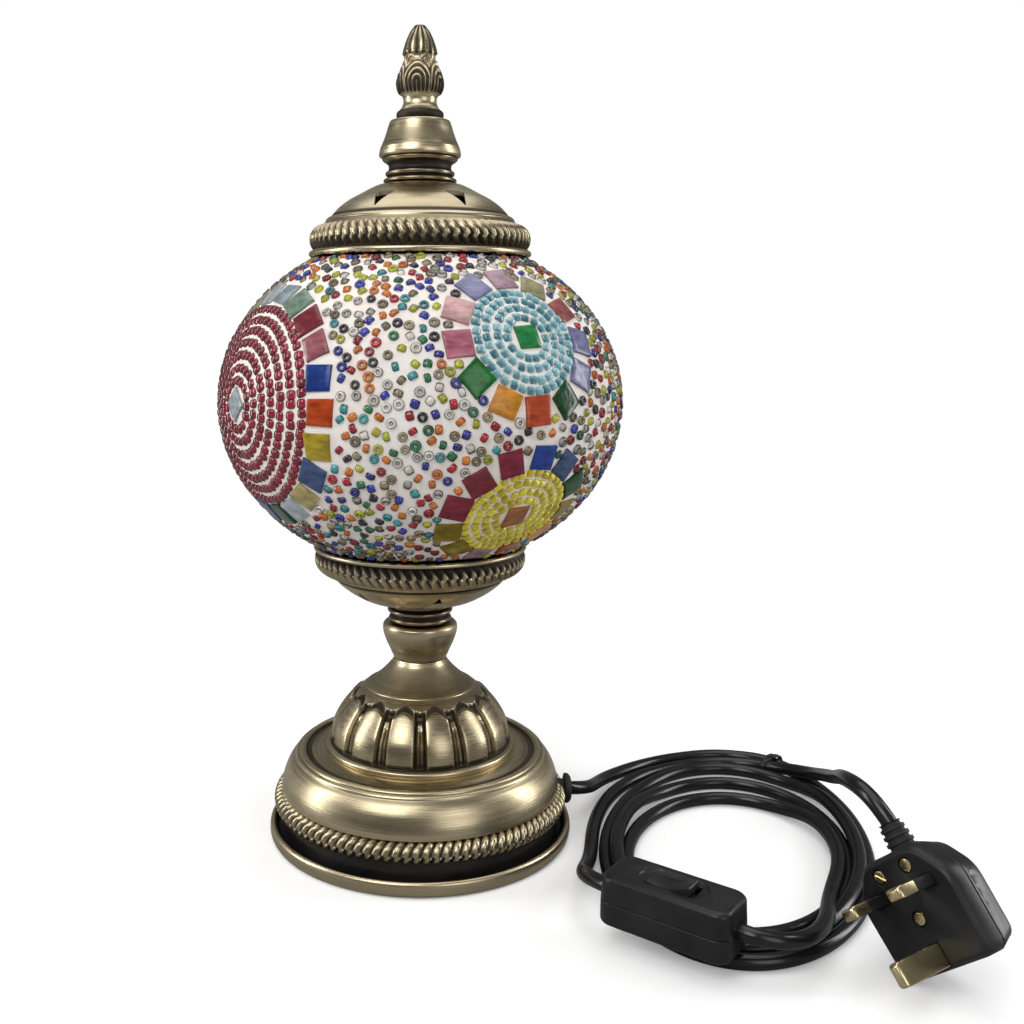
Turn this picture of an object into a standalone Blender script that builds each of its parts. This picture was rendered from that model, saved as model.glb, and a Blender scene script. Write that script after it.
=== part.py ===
"""Mosaic glass table lamp with a switched flex and a three-pin plug.

All dimensions are in millimetres and are scaled to metres when a mesh is made.
The lamp's axis is world Z, its foot rests on z = 0, and the flex leaves towards +X.
"""
import math

import bmesh
import bpy
from mathutils import Matrix, Vector

MM = 0.001
GAP = 0.3                     # air between two pieces that touch on the real lamp

# Lamp column, heights above the table
TRAY_FLOOR = 3.2
SHELL_TOP = 38.4
BELL_TOP = 79.6
CUP_TOP = 95.9
DISH_FLOOR = 105.8
DISH_RIM_TOP = 131.2
GLOBE_CENTRE = 191.5
CAP_RIM_BOTTOM = 251.8
CAP_TOP = 281.2
CONE_BOTTOM = 291.7
FINIAL_BOTTOM = 306.7
FINIAL_TOP = 343.6

# Globe: an oblate spheroid, half-width and half-height of each surface
MOSAIC_OUTSIDE = (85.0, 70.5)
MOSAIC_INSIDE = (83.4, 68.9)
GLASS_OUTSIDE = (83.1, 68.6)
GLASS_INSIDE = (80.6, 66.1)
MOSAIC_EDGE_LATITUDE = 59.2
GLASS_EDGE_LATITUDE = 61.2

# Threaded rod through the column, and the stud through the cap
ROD_RADIUS = 4.9
ROD_BORE = 3.6
ROD_HOLE = 5.3
STUD_RADIUS = 2.4
STUD_HOLE = 2.7

# Fluted bell
FLUTES = 14
FLUTE_DEPTH = 2.6
FLUTE_LOW = 43.0
FLUTE_HIGH = 66.0

# Triangular vents pierced through the cap and the dish, pointing outwards
VENTS = 6
VENT_INNER_RADIUS = 27.2
VENT_TIP_RADIUS = 34.4
VENT_HALF_WIDTH = 3.4
CAP_VENT_TURN = 0.0
DISH_VENT_TURN = 43.0

# Flex
CORD_RADIUS = 2.8
CORD_HEIGHT = 17.5            # grommet centre above the table
CORD_REST = CORD_RADIUS + 0.3

# Switch, in its own frame: length along X, up along Z
SWITCH_LENGTH = 50.0
SWITCH_WIDTH = 23.0
SWITCH_SPLIT = 9.2
SWITCH_HEIGHT = 19.0
SWITCH_PLACE = (90.5, -105.5, 9.2)
SWITCH_TURN = -38.0
CAVITY_HALF_LENGTH = 15.9
CAVITY_HALF_WIDTH = 9.6
SWITCH_SCREW = (19.6, 6.6)
ROCKER_PIVOT = 14.6
ROCKER_TILT = 9.0

# Plug, in its own frame: width along X, pins along -Y, flex entry along +Z
PLUG_PLACE = (174.5, -120.2, 27.2)
PLUG_TURN = -58.0
PLUG_LEAN = -43.0
PIN_PITCH = 22.2
PIN_ROW = 7.4                 # height of the live and neutral pins over the plug's middle
FACE_Y = -7.0
PLUG_SPLIT_Y = 1.0
PLUG_BACK_Y = 13.0
PLUG_ENTRY_Y = 5.0

ANTIQUE_BRASS = ((0.36, 0.29, 0.17), 0.35, 1.0)
DARK_BRASS = ((0.16, 0.12, 0.07), 0.45, 1.0)
BRIGHT_BRASS = ((0.72, 0.55, 0.25), 0.3, 1.0)
ZINC_STEEL = ((0.55, 0.55, 0.53), 0.4, 1.0)
CAST_IRON = ((0.12, 0.12, 0.12), 0.7, 1.0)
BLACK_PLASTIC = ((0.02, 0.02, 0.022), 0.4, 0.0)
BLACK_FLEX = ((0.015, 0.015, 0.016), 0.3, 0.0)
BLACK_RUBBER = ((0.02, 0.02, 0.02), 0.8, 0.0)
GREEN_FELT = ((0.03, 0.05, 0.04), 0.95, 0.0)
CLEAR_GLASS = ((0.85, 0.9, 0.9), 0.05, 0.0)
OPAL_GLASS = ((0.9, 0.88, 0.84), 0.2, 0.0)
WHITE_GROUT = ((0.85, 0.8, 0.76), 0.7, 0.0)
WHITE_CERAMIC = ((0.85, 0.84, 0.8), 0.5, 0.0)


def clear_scene():
    for item in list(bpy.data.objects):
        bpy.data.objects.remove(item, do_unlink=True)


# ---------------------------------------------------------------- outlines

def arc(centre, radius, start, end, steps):
    """Points on a circular arc, angles in degrees."""
    points = []
    for i in range(steps + 1):
        angle = math.radians(start + (end - start) * i / steps)
        points.append((centre[0] + radius * math.cos(angle), centre[1] + radius * math.sin(angle)))
    return points


def rounded_rectangle(half_x, half_y, corner, steps=3):
    corners = ((1, 1, 0), (-1, 1, 90), (-1, -1, 180), (1, -1, 270))
    points = []
    for side_x, side_y, start in corners:
        centre = (side_x * (half_x - corner), side_y * (half_y - corner))
        points += arc(centre, corner, start, start + 90, steps)
    return points


def rounded_polygon(corners, radius, steps=2):
    """The corners of a convex polygon, each cut by a quadratic curve."""
    points = []
    count = len(corners)
    for i, here in enumerate(corners):
        here = Vector(here)
        before = Vector(corners[i - 1]) - here
        after = Vector(corners[(i + 1) % count]) - here
        start = here + before.normalized() * radius
        end = here + after.normalized() * radius
        for k in range(steps + 1):
            t = k / steps
            points.append(tuple((1 - t) ** 2 * start + 2 * t * (1 - t) * here + t ** 2 * end))
    return points


def spheroid_arc(half_sizes, latitude, steps):
    """Points of a spheroid's outline between two equal latitudes, from the bottom up."""
    points = []
    for i in range(steps + 1):
        angle = math.radians(-latitude + 2 * latitude * i / steps)
        height = GLOBE_CENTRE + half_sizes[1] * math.sin(angle)
        points.append((half_sizes[0] * math.cos(angle), height))
    return points


# ------------------------------------------------------------------ solids

def turned(outline, segments=20):
    """Revolve a closed outline of (radius, height) about Z."""
    bm = bmesh.new()
    verts = [bm.verts.new((radius, 0, height)) for radius, height in outline]
    pairs = zip(verts, verts[1:] + verts[:1])
    edges = [bm.edges.new(pair) for pair in pairs if pair[0].co.x > 0.001 or pair[1].co.x > 0.001]
    bmesh.ops.spin(bm, geom=verts + edges, cent=(0, 0, 0), axis=(0, 0, 1),
                   angle=math.tau, steps=segments, use_merge=True)
    bmesh.ops.remove_doubles(bm, verts=bm.verts, dist=0.001)
    bmesh.ops.recalc_face_normals(bm, faces=bm.faces)
    return bm


def loft(rings):
    """Skin a stack of equal rings and close both ends."""
    bm = bmesh.new()
    rows = [[bm.verts.new(point) for point in ring] for ring in rings]
    count = len(rows[0])
    for low, high in zip(rows, rows[1:]):
        for i in range(count):
            j = (i + 1) % count
            bm.faces.new((low[i], low[j], high[j], high[i]))
    bm.faces.new(list(reversed(rows[0])))
    bm.faces.new(rows[-1])
    bmesh.ops.recalc_face_normals(bm, faces=bm.faces)
    return bm


def stack_z(layers):
    """Loft flat outlines, each given with its height."""
    return loft([[(x, y, height) for x, y in outline] for outline, height in layers])


def stack_y(layers):
    """Loft outlines that stand in the XZ plane, each given with its depth."""
    return loft([[(x, depth, z) for x, z in outline] for outline, depth in layers])


def cylinder(radius, low, high, sides=16):
    return stack_z([(arc((0, 0), radius, 0, 360 - 360 / sides, sides - 1), z) for z in (low, high)])


def block(low, high):
    (x0, y0, z0), (x1, y1, z1) = low, high
    outline = ((x0, y0), (x1, y0), (x1, y1), (x0, y1))
    return stack_z([(outline, z0), (outline, z1)])


def hex_nut(across_corners, bore, low, high):
    """A hexagon with a round bore of twelve sides."""
    bm = bmesh.new()
    sides = 12
    rings = []
    for radius, height in ((across_corners, low), (across_corners, high), (bore, high), (bore, low)):
        ring = []
        for i in range(sides):
            angle = math.tau * i / sides
            reach = radius
            if radius == across_corners and i % 2:
                reach = radius * math.cos(math.pi / 6)
            ring.append(bm.verts.new((reach * math.cos(angle), reach * math.sin(angle), height)))
        rings.append(ring)
    for ring, following in zip(rings, rings[1:] + rings[:1]):
        for i in range(sides):
            j = (i + 1) % sides
            bm.faces.new((ring[i], ring[j], following[j], following[i]))
    bmesh.ops.recalc_face_normals(bm, faces=bm.faces)
    return bm


def smooth_path(points, steps):
    """Catmull-Rom curve through the points."""
    points = [Vector(point) for point in points]
    padded = [2 * points[0] - points[1]] + points + [2 * points[-1] - points[-2]]
    path = []
    for i in range(1, len(padded) - 2):
        before, start, end, after = padded[i - 1:i + 3]
        for k in range(steps):
            t = k / steps
            path.append(0.5 * (2 * start + (end - before) * t
                               + (2 * before - 5 * start + 4 * end - after) * t ** 2
                               + (3 * start - before - 3 * end + after) * t ** 3))
    path.append(points[-1])
    return path


def tube(path, radius, sides=6):
    """Sweep a circle along a path without twist."""
    path = [Vector(point) for point in path]
    tangents = [(path[min(i + 1, len(path) - 1)] - path[max(i - 1, 0)]).normalized()
                for i in range(len(path))]
    up = Vector((0, 0, 1)) if abs(tangents[0].z) < 0.9 else Vector((1, 0, 0))
    normal = (up - tangents[0] * up.dot(tangents[0])).normalized()
    rings = []
    for point, tangent in zip(path, tangents):
        normal = (normal - tangent * normal.dot(tangent)).normalized()
        side = tangent.cross(normal)
        ring = []
        for i in range(sides):
            angle = math.tau * i / sides
            ring.append(point + radius * (normal * math.cos(angle) + side * math.sin(angle)))
        rings.append(ring)
    return loft(rings)


# ----------------------------------------------------------------- objects

def add_object(name, bm, finish, parent=None, location=(0, 0, 0), rotation=(0, 0, 0)):
    """Make a named object, in metres, from a millimetre bmesh."""
    bm.transform(Matrix.Scale(MM, 4))
    mesh = bpy.data.meshes.new(name)
    bm.to_mesh(mesh)
    bm.free()
    mesh.shade_smooth()
    mesh.set_sharp_from_angle(angle=math.radians(35))
    item = bpy.data.objects.new(name, mesh)
    bpy.context.scene.collection.objects.link(item)
    item.parent = parent
    item.location = [value * MM for value in location]
    item.rotation_euler = [math.radians(value) for value in rotation]
    if finish:
        colour, roughness, metallic = finish
        material = bpy.data.materials.new(name)
        material.use_nodes = True
        shader = material.node_tree.nodes["Principled BSDF"]
        shader.inputs["Base Color"].default_value = (*colour, 1)
        shader.inputs["Roughness"].default_value = roughness
        shader.inputs["Metallic"].default_value = metallic
        mesh.materials.append(material)
    return item


def add_frame(name, location, rotation=(0, 0, 0)):
    frame = bpy.data.objects.new(name, None)
    bpy.context.scene.collection.objects.link(frame)
    frame.location = [value * MM for value in location]
    frame.rotation_euler = [math.radians(value) for value in rotation]
    return frame


def cut(target, bm, location=(0, 0, 0), rotation=(0, 0, 0)):
    """Subtract a solid, placed in the target's parent frame, from the target."""
    name = f"{target.name}_cutter_{len(target.modifiers) + 1}"
    cutter = add_object(name, bm, None, target.parent, location, rotation)
    cutter.hide_render = True
    cutter.display_type = 'WIRE'
    boolean = target.modifiers.new(name, 'BOOLEAN')
    boolean.operation = 'DIFFERENCE'
    boolean.object = cutter


# -------------------------------------------------------------------- foot

def build_foot():
    add_object("felt_pad", cylinder(62, 0, 1.7, 40), GREEN_FELT)

    boss_radius = 15.6
    boss_top = 9.6
    tray = [(ROD_HOLE, boss_top), (ROD_HOLE, boss_top - 1), (boss_radius - 0.6, boss_top - 1),
            (18, 2), (63.6, 2), (64.8, 0.6), (66.6, 0.6)]
    tray += arc((66.3, 1.8), 1.2, -45, 0, 1) + arc((66.35, 6.9), 1.15, 0, 180, 3)
    tray += [(65.2, 4.2), (64.2, TRAY_FLOOR), (18.8, TRAY_FLOOR), (boss_radius, boss_top)]
    add_object("foot_tray", turned(tray, 32), ANTIQUE_BRASS)

    ballast = [(20, TRAY_FLOOR + GAP), (57, TRAY_FLOOR + GAP), (57, 10), (55, 12), (20, 12)]
    add_object("ballast_weight", turned(ballast, 24), CAST_IRON)

    wall_foot = TRAY_FLOOR + GAP
    shell = [(34, SHELL_TOP), (44, SHELL_TOP), (50.6, 37.6)]
    shell += arc((52.6, 37.6), 1.6, 150, 20, 2)
    shell += [(54.6, 36.6), (57.6, 33.4), (60, 29.2), (61.5, 25.4), (61.2, 24.2)]
    shell += arc((60.2, 18.6), 4.8, 62, -62, 4)
    shell += [(61.4, 13.2), (61.4, wall_foot), (60.2, wall_foot), (60.2, 24), (56.8, 31.6),
              (51.6, 36.2), (34, 37.3)]
    base_shell = add_object("base_shell", turned(shell, 32), ANTIQUE_BRASS)
    cut(base_shell, cylinder(4.6, -8, 8), (62, 0, CORD_HEIGHT), (0, 90, 0))

    grommet = [(3.6, -3.2), (4.2, -3.2), (4.2, 2), (6.4, 2), (6.6, 3.2), (5.2, 4.6), (3.6, 4.6)]
    add_object("cord_grommet", turned(grommet, 12), BLACK_RUBBER, None,
               (63.4, 0, CORD_HEIGHT), (0, 90, 0))


def build_bell():
    """Fluted bell under a smooth cone; its flutes are pressed inwards from the outline."""
    ring = [(41.4, 38.8), (41.6, 40.6), (39.6, 42.2)]
    body = [(38.8, FLUTE_LOW), (38.4, 47.5), (36.6, 53.6), (33.2, 58.8), (26, FLUTE_HIGH)]
    neck = [(18.6, 71.2), (13.4, 76.2), (11.2, BELL_TOP)]
    inside = [(ROD_HOLE, BELL_TOP), (ROD_HOLE, 78), (9.6, 77), (29.6, 57.4), (34.6, 46), (34.6, 38.8)]
    bm = turned(ring + body + neck + inside, FLUTES * 4)
    for vert in bm.verts:
        radius = math.hypot(vert.co.x, vert.co.y)
        height = vert.co.z
        outer_face = min(abs(height - level) for _, level in body[1:-1]) < 0.1
        if not outer_face:
            continue
        angle = math.atan2(vert.co.y, vert.co.x) + math.pi / 2
        groove = max(0.0, math.cos(FLUTES * angle))
        keep = (radius - FLUTE_DEPTH * groove) / radius
        vert.co.x *= keep
        vert.co.y *= keep
    add_object("base_bell", bm, ANTIQUE_BRASS)


def build_column():
    cup = [(ROD_HOLE, BELL_TOP + GAP), (11.8, BELL_TOP + GAP), (12.6, 82), (13.8, 84.8), (15, 87.4),
           (16, 90.4), (16.4, 93), (15.9, 95.2), (15, CUP_TOP), (ROD_HOLE, CUP_TOP)]
    add_object("lower_cup", turned(cup), ANTIQUE_BRASS)

    collar = [(ROD_HOLE, CUP_TOP + GAP), (12.4, CUP_TOP + GAP), (13.4, 97.2), (13.4, 98.6),
              (12.8, 99.4), (14, 100.6), (14.2, 101.6), (13.4, 102.6), (14.8, 103.6), (14.8, 104.8),
              (14, DISH_FLOOR - GAP), (ROD_HOLE, DISH_FLOOR - GAP)]
    add_object("lower_neck_collar", turned(collar), DARK_BRASS)

    rod = [(ROD_BORE, 2.2), (ROD_RADIUS, 2.2), (ROD_RADIUS, 120), (ROD_BORE, 120)]
    threaded_rod = add_object("threaded_rod", turned(rod, 16), ZINC_STEEL)
    cut(threaded_rod, cylinder(2.5, 0, 8, 12), (0, 0, CORD_HEIGHT), (0, 90, 0))
    add_object("rod_nut_bottom", hex_nut(9.4, ROD_HOLE, 2.4, 6.9), ZINC_STEEL)
    washer = [(ROD_HOLE, 7.2), (11, 7.2), (11, 8.3), (ROD_HOLE, 8.3)]
    add_object("rod_washer", turned(washer, 16), ZINC_STEEL)
    add_object("rod_nut_top", hex_nut(9.4, ROD_HOLE, 107.3, 111.3), ZINC_STEEL)


def cut_vents(target, first_turn, low, high):
    """Pierce a ring of rounded triangles through a pressing."""
    corners = [(VENT_INNER_RADIUS, VENT_HALF_WIDTH), (VENT_INNER_RADIUS, -VENT_HALF_WIDTH),
               (VENT_TIP_RADIUS, 0)]
    outline = rounded_polygon(corners, 1.1)
    for i in range(VENTS):
        turn = first_turn + 360 / VENTS * i
        cut(target, stack_z([(outline, low), (outline, high)]), (0, 0, 0), (0, 0, turn))


def build_dish():
    """Lower dish: the cap's pressing turned over, carrying the globe on its rim."""
    outside = [(ROD_HOLE, DISH_FLOOR), (17, DISH_FLOOR), (24.6, 106.9), (33.4, 112.6),
               (37.9, 117.4), (39.4, 118.2)]
    rope = arc((39.6, 124.2), 6.0, -62, 0, 3)
    rim = [(45, 125.2), (46, 126.2), (46.2, 129), (45.6, DISH_RIM_TOP), (44.9, DISH_RIM_TOP),
           (44.6, 126.2)]
    inside = [(43.4, 123.6), (41.4, 120.9), (37.2, 118.8), (24, 108.2), (16.6, 107), (ROD_HOLE, 107)]
    lower_dish = add_object("lower_dish", turned(outside + rope + rim + inside, 32), ANTIQUE_BRASS)
    cut_vents(lower_dish, DISH_VENT_TURN, 104, 117)


def build_lampholder():
    base = [(ROD_HOLE, 111.7), (9, 111.7), (12.6, 115.2), (12.6, 123.4), (11.2, 123.4),
            (11.2, 116.4), (8.2, 113.4), (ROD_HOLE, 113.4)]
    add_object("lampholder_base", turned(base, 16), BLACK_PLASTIC)
    skirt = [(0, 123.7), (12.8, 123.7), (12.8, 151), (12.2, 152), (8.7, 152), (8.7, 127), (0, 127)]
    add_object("lampholder_skirt", turned(skirt, 24), BLACK_PLASTIC)
    contact = [(0, 127.3), (3, 127.3), (3, 128), (1.4, 129.4), (0, 129.6)]
    add_object("lampholder_contact", turned(contact, 12), BRIGHT_BRASS)
    screw_shell = [(7.5, 130.4), (8.3, 130.4), (8.3, 150), (7.5, 150)]
    add_object("lampholder_screw_shell", turned(screw_shell, 24), BRIGHT_BRASS)

    bend = [(4.5 - 4.5 * math.sin(angle), 0, CORD_HEIGHT + 4.5 - 4.5 * math.cos(angle))
            for angle in (0, math.pi / 6, math.pi / 3, math.pi / 2)]
    wires = [(19, 0, CORD_HEIGHT)] + bend + [(0, 0, 123)]
    add_object("lamp_wires", tube(wires, 1.9), WHITE_CERAMIC)


def build_bulb():
    """Bulb cap and contact; the bulb turns about Z as it is unscrewed."""
    contact = [(0, 129.9), (1.6, 130.1), (2.4, 131), (2.4, 132), (0, 132)]
    add_object("bulb_contact", turned(contact, 12), ZINC_STEEL)
    cap = [(0, 132.3), (4.4, 132.3), (6.9, 134.6), (6.9, 156), (6.3, 156), (6.3, 134.8), (0, 134)]
    add_object("bulb_screw_cap", turned(cap, 24), BRIGHT_BRASS)
    bulb_radius = 22.5
    bulb_centre = 188.0
    outside = [(5.9, 148), (5.9, 158), (9, 164), (14.4, 170.2)]
    outside += arc((0, bulb_centre), bulb_radius, -42, 90, 5)
    inside = arc((0, bulb_centre), bulb_radius - 0.9, 90, -42, 5)
    inside += [(13.6, 170.9), (8, 164.4), (5.1, 158.3), (5.1, 148)]
    add_object("bulb_glass", turned(outside + inside, 16), OPAL_GLASS)


# ------------------------------------------------------------------- globe

def build_globe():
    steps = 8
    segments = 32
    glass = spheroid_arc(GLASS_OUTSIDE, GLASS_EDGE_LATITUDE, steps)
    glass += reversed(spheroid_arc(GLASS_INSIDE, GLASS_EDGE_LATITUDE, steps))
    add_object("globe_glass", turned(glass, segments), CLEAR_GLASS)
    mosaic = spheroid_arc(MOSAIC_OUTSIDE, MOSAIC_EDGE_LATITUDE, steps)
    mosaic += reversed(spheroid_arc(MOSAIC_INSIDE, MOSAIC_EDGE_LATITUDE, steps))
    add_object("mosaic_shell", turned(mosaic, segments), WHITE_GROUT)
    gasket = [(36.8, 121), (38.6, 120.6), (41, 122), (42.6, 124.6), (43.4, 127), (43.4, 130.2),
              (36.8, 130.2)]
    add_object("globe_gasket", turned(gasket, 20), BLACK_RUBBER)


# --------------------------------------------------------------------- cap

def build_cap():
    top = [(STUD_HOLE, CAP_TOP), (15.8, CAP_TOP), (19.2, 280), (30, 274.8), (34.8, 270.9),
           (38, 266.8), (39.4, 265.6)]
    rope = arc((39.6, 259.6), 5.9, 62, 0, 3)
    rim = [(44.9, 258), (45.8, 256.8), (45.9, 253.6), (45.3, CAP_RIM_BOTTOM),
           (44.4, CAP_RIM_BOTTOM), (44.2, 257)]
    inside = [(43.2, 260.6), (37.4, 265), (32.4, 270.6), (15.4, 279.9), (STUD_HOLE, 279.9)]
    top_cap = add_object("top_cap", turned(top + rope + rim + inside, 32), ANTIQUE_BRASS)
    cut_vents(top_cap, CAP_VENT_TURN, 267.5, 282)

    collar = [(STUD_HOLE, CAP_TOP + GAP), (14.2, CAP_TOP + GAP), (15, 282.6), (14.4, 283.8),
              (13.4, 284.5), (14, 285.4), (13.8, 286.4), (12.9, 287.2), (12.9, 288.6), (13.8, 289.9),
              (15.6, 290.9), (15.6, CONE_BOTTOM - GAP), (STUD_HOLE, CONE_BOTTOM - GAP)]
    add_object("upper_neck_collar", turned(collar), DARK_BRASS)

    cone = [(STUD_HOLE, CONE_BOTTOM), (16.4, CONE_BOTTOM), (16.8, 293.4), (16.4, 295.8),
            (14.9, 298.8), (13.7, 302), (12.7, 304.8), (11.7, FINIAL_BOTTOM - GAP),
            (STUD_HOLE, FINIAL_BOTTOM - GAP)]
    add_object("finial_cone", turned(cone), ANTIQUE_BRASS)

    bud = [(0, FINIAL_TOP), (1.6, 343), (3.4, 341), (5, 338), (6.2, 335), (7.1, 332), (7, 330.4),
           (6.5, 329), (7.4, 327), (8.6, 324.2), (9.4, 321.4), (9.3, 319), (8.2, 316.8), (6.8, 315),
           (6.8, 313.4), (7.6, 311.2), (9, 309.4), (9.6, 308.2), (9.5, FINIAL_BOTTOM),
           (STUD_HOLE, FINIAL_BOTTOM), (STUD_HOLE, 320), (0, 320)]
    add_object("finial", turned(bud, 16), ANTIQUE_BRASS)

    add_object("cap_stud", cylinder(STUD_RADIUS, 255, 318, 12), ZINC_STEEL)
    add_object("cap_nut", hex_nut(5.4, STUD_HOLE, 275.4, 279.4), ZINC_STEEL)
    bridge = [(STUD_HOLE, 262), (16, 262), (16, 263.5), (STUD_HOLE, 263.5)]
    add_object("clip_bridge", turned(bridge, 16), ZINC_STEEL)
    add_object("bridge_nut", hex_nut(5.4, STUD_HOLE, 257.6, 261.6), ZINC_STEEL)
    for i in range(3):
        name = f"spring_clip_{i + 1}"
        add_object(name, spring_clip(), ZINC_STEEL, None, (0, 0, 0), (0, 0, 90 + 120 * i))


def spring_clip():
    """Bent spring strip: an arm out from the bridge and a leg into the globe's mouth."""
    centre_line = [(7, 264.3), (28, 265.2), (34.5, 262.4), (37, 257), (37, 249), (34.4, 243.5)]
    half_thickness = 0.4
    half_width = 4
    rings = []
    for i, (reach, height) in enumerate(centre_line):
        ahead = Vector(centre_line[min(i + 1, len(centre_line) - 1)])
        behind = Vector(centre_line[max(i - 1, 0)])
        along = (ahead - behind).normalized()
        across = Vector((-along.y, along.x)) * half_thickness
        inner = (reach - across.x, height - across.y)
        outer = (reach + across.x, height + across.y)
        rings.append([(inner[0], -half_width, inner[1]), (inner[0], half_width, inner[1]),
                      (outer[0], half_width, outer[1]), (outer[0], -half_width, outer[1])])
    return loft(rings)


# -------------------------------------------------------------------- flex

COIL_OUTER = (58.0, -120.0, 74.0)       # half-width, front edge and back edge of the outermost turn
COIL_INNER = (43.0, -92.0, 16.0)        # the same of the innermost turn
COIL_X = 130.0
COIL_SHEAR = 0.2
TURN_STEP = 0.3                 # share of the way inwards that each turn winds
TURN_LIFT = 4.0                 # odd turns ride this much higher where the coil is narrow
PLUG_INSET = 0.17               # where the plug's flex lies at the back of the coil
TIE_TURN = 30.0
TIE_WIDTH = 2.8
TIE_THICKNESS = 1.4
TIE_SLACK = 0.7


def coil_point(turn, inset, height=CORD_REST):
    """A point of the coil; turn is in degrees from the back, inset is 0 outermost, 1 innermost."""
    half, front, back = (a + (b - a) * inset for a, b in zip(COIL_OUTER, COIL_INNER))
    angle = math.radians(turn)
    y = (front + back) / 2 + (back - front) / 2 * math.cos(angle)
    x = COIL_X + half * math.sin(angle) + COIL_SHEAR * (y + 50)
    return (x, y, height)


def ease(value, low, high):
    """0 below low, 1 above high, smooth between."""
    t = min(max((value - low) / (high - low), 0), 1)
    return t * t * (3 - 2 * t)


def tie_lift(turn):
    """Height that the strap under two strands lifts them by."""
    away = abs((turn + 180) % 360 - 180 - TIE_TURN)
    return TIE_THICKNESS * (1 - ease(away, 5, 20))


def lamp_strand(turn):
    """A point of the lamp's flex in the coil, which winds inwards as it turns."""
    away = abs((turn + 180) % 360 - 180)
    widens = 124 if turn % 360 < 180 else 108
    narrow = ease(away, 35, 60) * (1 - ease(away, widens, widens + 34))
    odd = math.floor(turn / 360) % 2
    lift = TURN_LIFT * narrow * odd
    if turn < 180:
        lift += tie_lift(turn)
    return coil_point(turn, TURN_STEP * turn / 360, CORD_REST + lift)


def plug_strand(turn):
    """A point of the plug's flex, outermost at the left and second at the back."""
    inset = -0.2 + (PLUG_INSET + 0.2) * ease(turn, 280, 345)
    return coil_point(turn, inset, CORD_REST + tie_lift(turn) + 6 * ease(turn, 388, 407))


def switch_point(x):
    """A point on the axis of the switch's flex entries."""
    turn = math.radians(SWITCH_TURN)
    return (SWITCH_PLACE[0] + x * math.cos(turn), SWITCH_PLACE[1] + x * math.sin(turn),
            SWITCH_PLACE[2] + SWITCH_SPLIT)


def plug_point(z):
    """A point on the axis of the plug's flex entry."""
    turn = Matrix.Rotation(math.radians(PLUG_TURN), 3, 'Z')
    lean = Matrix.Rotation(math.radians(PLUG_LEAN), 3, 'Y')
    return tuple(Vector(PLUG_PLACE) + turn @ lean @ Vector((0, PLUG_ENTRY_Y, z)))


def settled(path):
    """The path kept on or above the table."""
    return [Vector((point.x, point.y, max(point.z, CORD_REST))) for point in path]


def lamp_flex_path():
    """From inside the foot, round the coil three and a third times, into the switch's right end."""
    lead = [(24, 0, CORD_HEIGHT), (56, 0, CORD_HEIGHT), (69.5, 0, CORD_HEIGHT), (77, 7.5, 14.2),
            (82.8, 22, 9.6), (91.6, 39, 6), coil_point(-38, -0.17), lamp_strand(-18)]
    path = smooth_path(lead, 3)[:-1]
    for turn in range(-18, 1200, 8):
        path.append(Vector(lamp_strand(turn)))
    end = SWITCH_LENGTH / 2
    rise = [path[-1], (157, -79, 6), (153, -89.5, 9), (147.5, -102, 11), (139.5, -114, 13),
            (130, -123, 15.6), (121.3, -127, 17.7), switch_point(end + 7), switch_point(end),
            switch_point(end - 7)]
    return settled(path + smooth_path(rise, 2)[1:])


def plug_flex_path():
    """From the switch's left end round the left and back of the coil, then up to the plug."""
    end = -SWITCH_LENGTH / 2
    away = [switch_point(end + 7), switch_point(end), switch_point(end - 5), (64, -82, 17.6),
            (63.6, -73, 14.6), (65.6, -59, 8.6), (69.1, -46.5, 4.6), plug_strand(262)]
    path = smooth_path(away, 3)[:-1]
    for turn in range(262, 410, 8):
        path.append(Vector(plug_strand(turn)))
    over = [path[-1], (188.8, 28.5, 12), (187.5, 12, 18.5), (183, -10, 27), (175.5, -34, 37.5),
            (167.5, -56, 47), (162.3, -74, 54), (160.5, -86, 57.5), plug_point(40), plug_point(31),
            plug_point(22), plug_point(14)]
    return settled(path + smooth_path(over, 3)[1:])


def build_flex():
    add_object("cord_lamp_to_switch", tube(lamp_flex_path(), CORD_RADIUS), BLACK_FLEX)
    add_object("cord_switch_to_plug", tube(plug_flex_path(), CORD_RADIUS), BLACK_FLEX)
    build_cable_tie()


def build_cable_tie():
    """Flat strap round the two outer strands at the back of the coil."""
    outer = Vector(lamp_strand(TIE_TURN))
    along = (Vector(lamp_strand(TIE_TURN + 2)) - outer).normalized()
    nearby = [Vector(plug_strand(360 + TIE_TURN + offset)) for offset in range(-10, 11)]
    inner = min(nearby, key=lambda point: (point - outer).length)
    across = Vector((0, 0, 1)).cross(along)
    reach = (outer - inner).dot(across) / 2
    middle = outer - across * reach
    rings = []
    bm = bmesh.new()
    for offset, shift in ((0, -1), (TIE_THICKNESS, -1), (TIE_THICKNESS, 1), (0, 1)):
        radius = CORD_RADIUS + TIE_SLACK + offset * 0.7
        loop = arc((reach, 0), radius, -90, 90, 6) + arc((-reach, 0), radius, 90, 270, 6)
        shifted = middle + along * shift * TIE_WIDTH / 2
        rings.append([bm.verts.new(shifted + across * x + Vector((0, 0, z))) for x, z in loop])
    for ring, following in zip(rings, rings[1:] + rings[:1]):
        for i in range(len(ring)):
            j = (i + 1) % len(ring)
            bm.faces.new((ring[i], ring[j], following[j], following[i]))
    bmesh.ops.recalc_face_normals(bm, faces=bm.faces)
    add_object("cable_tie", bm, BLACK_PLASTIC)


# ------------------------------------------------------------------ switch

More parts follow.
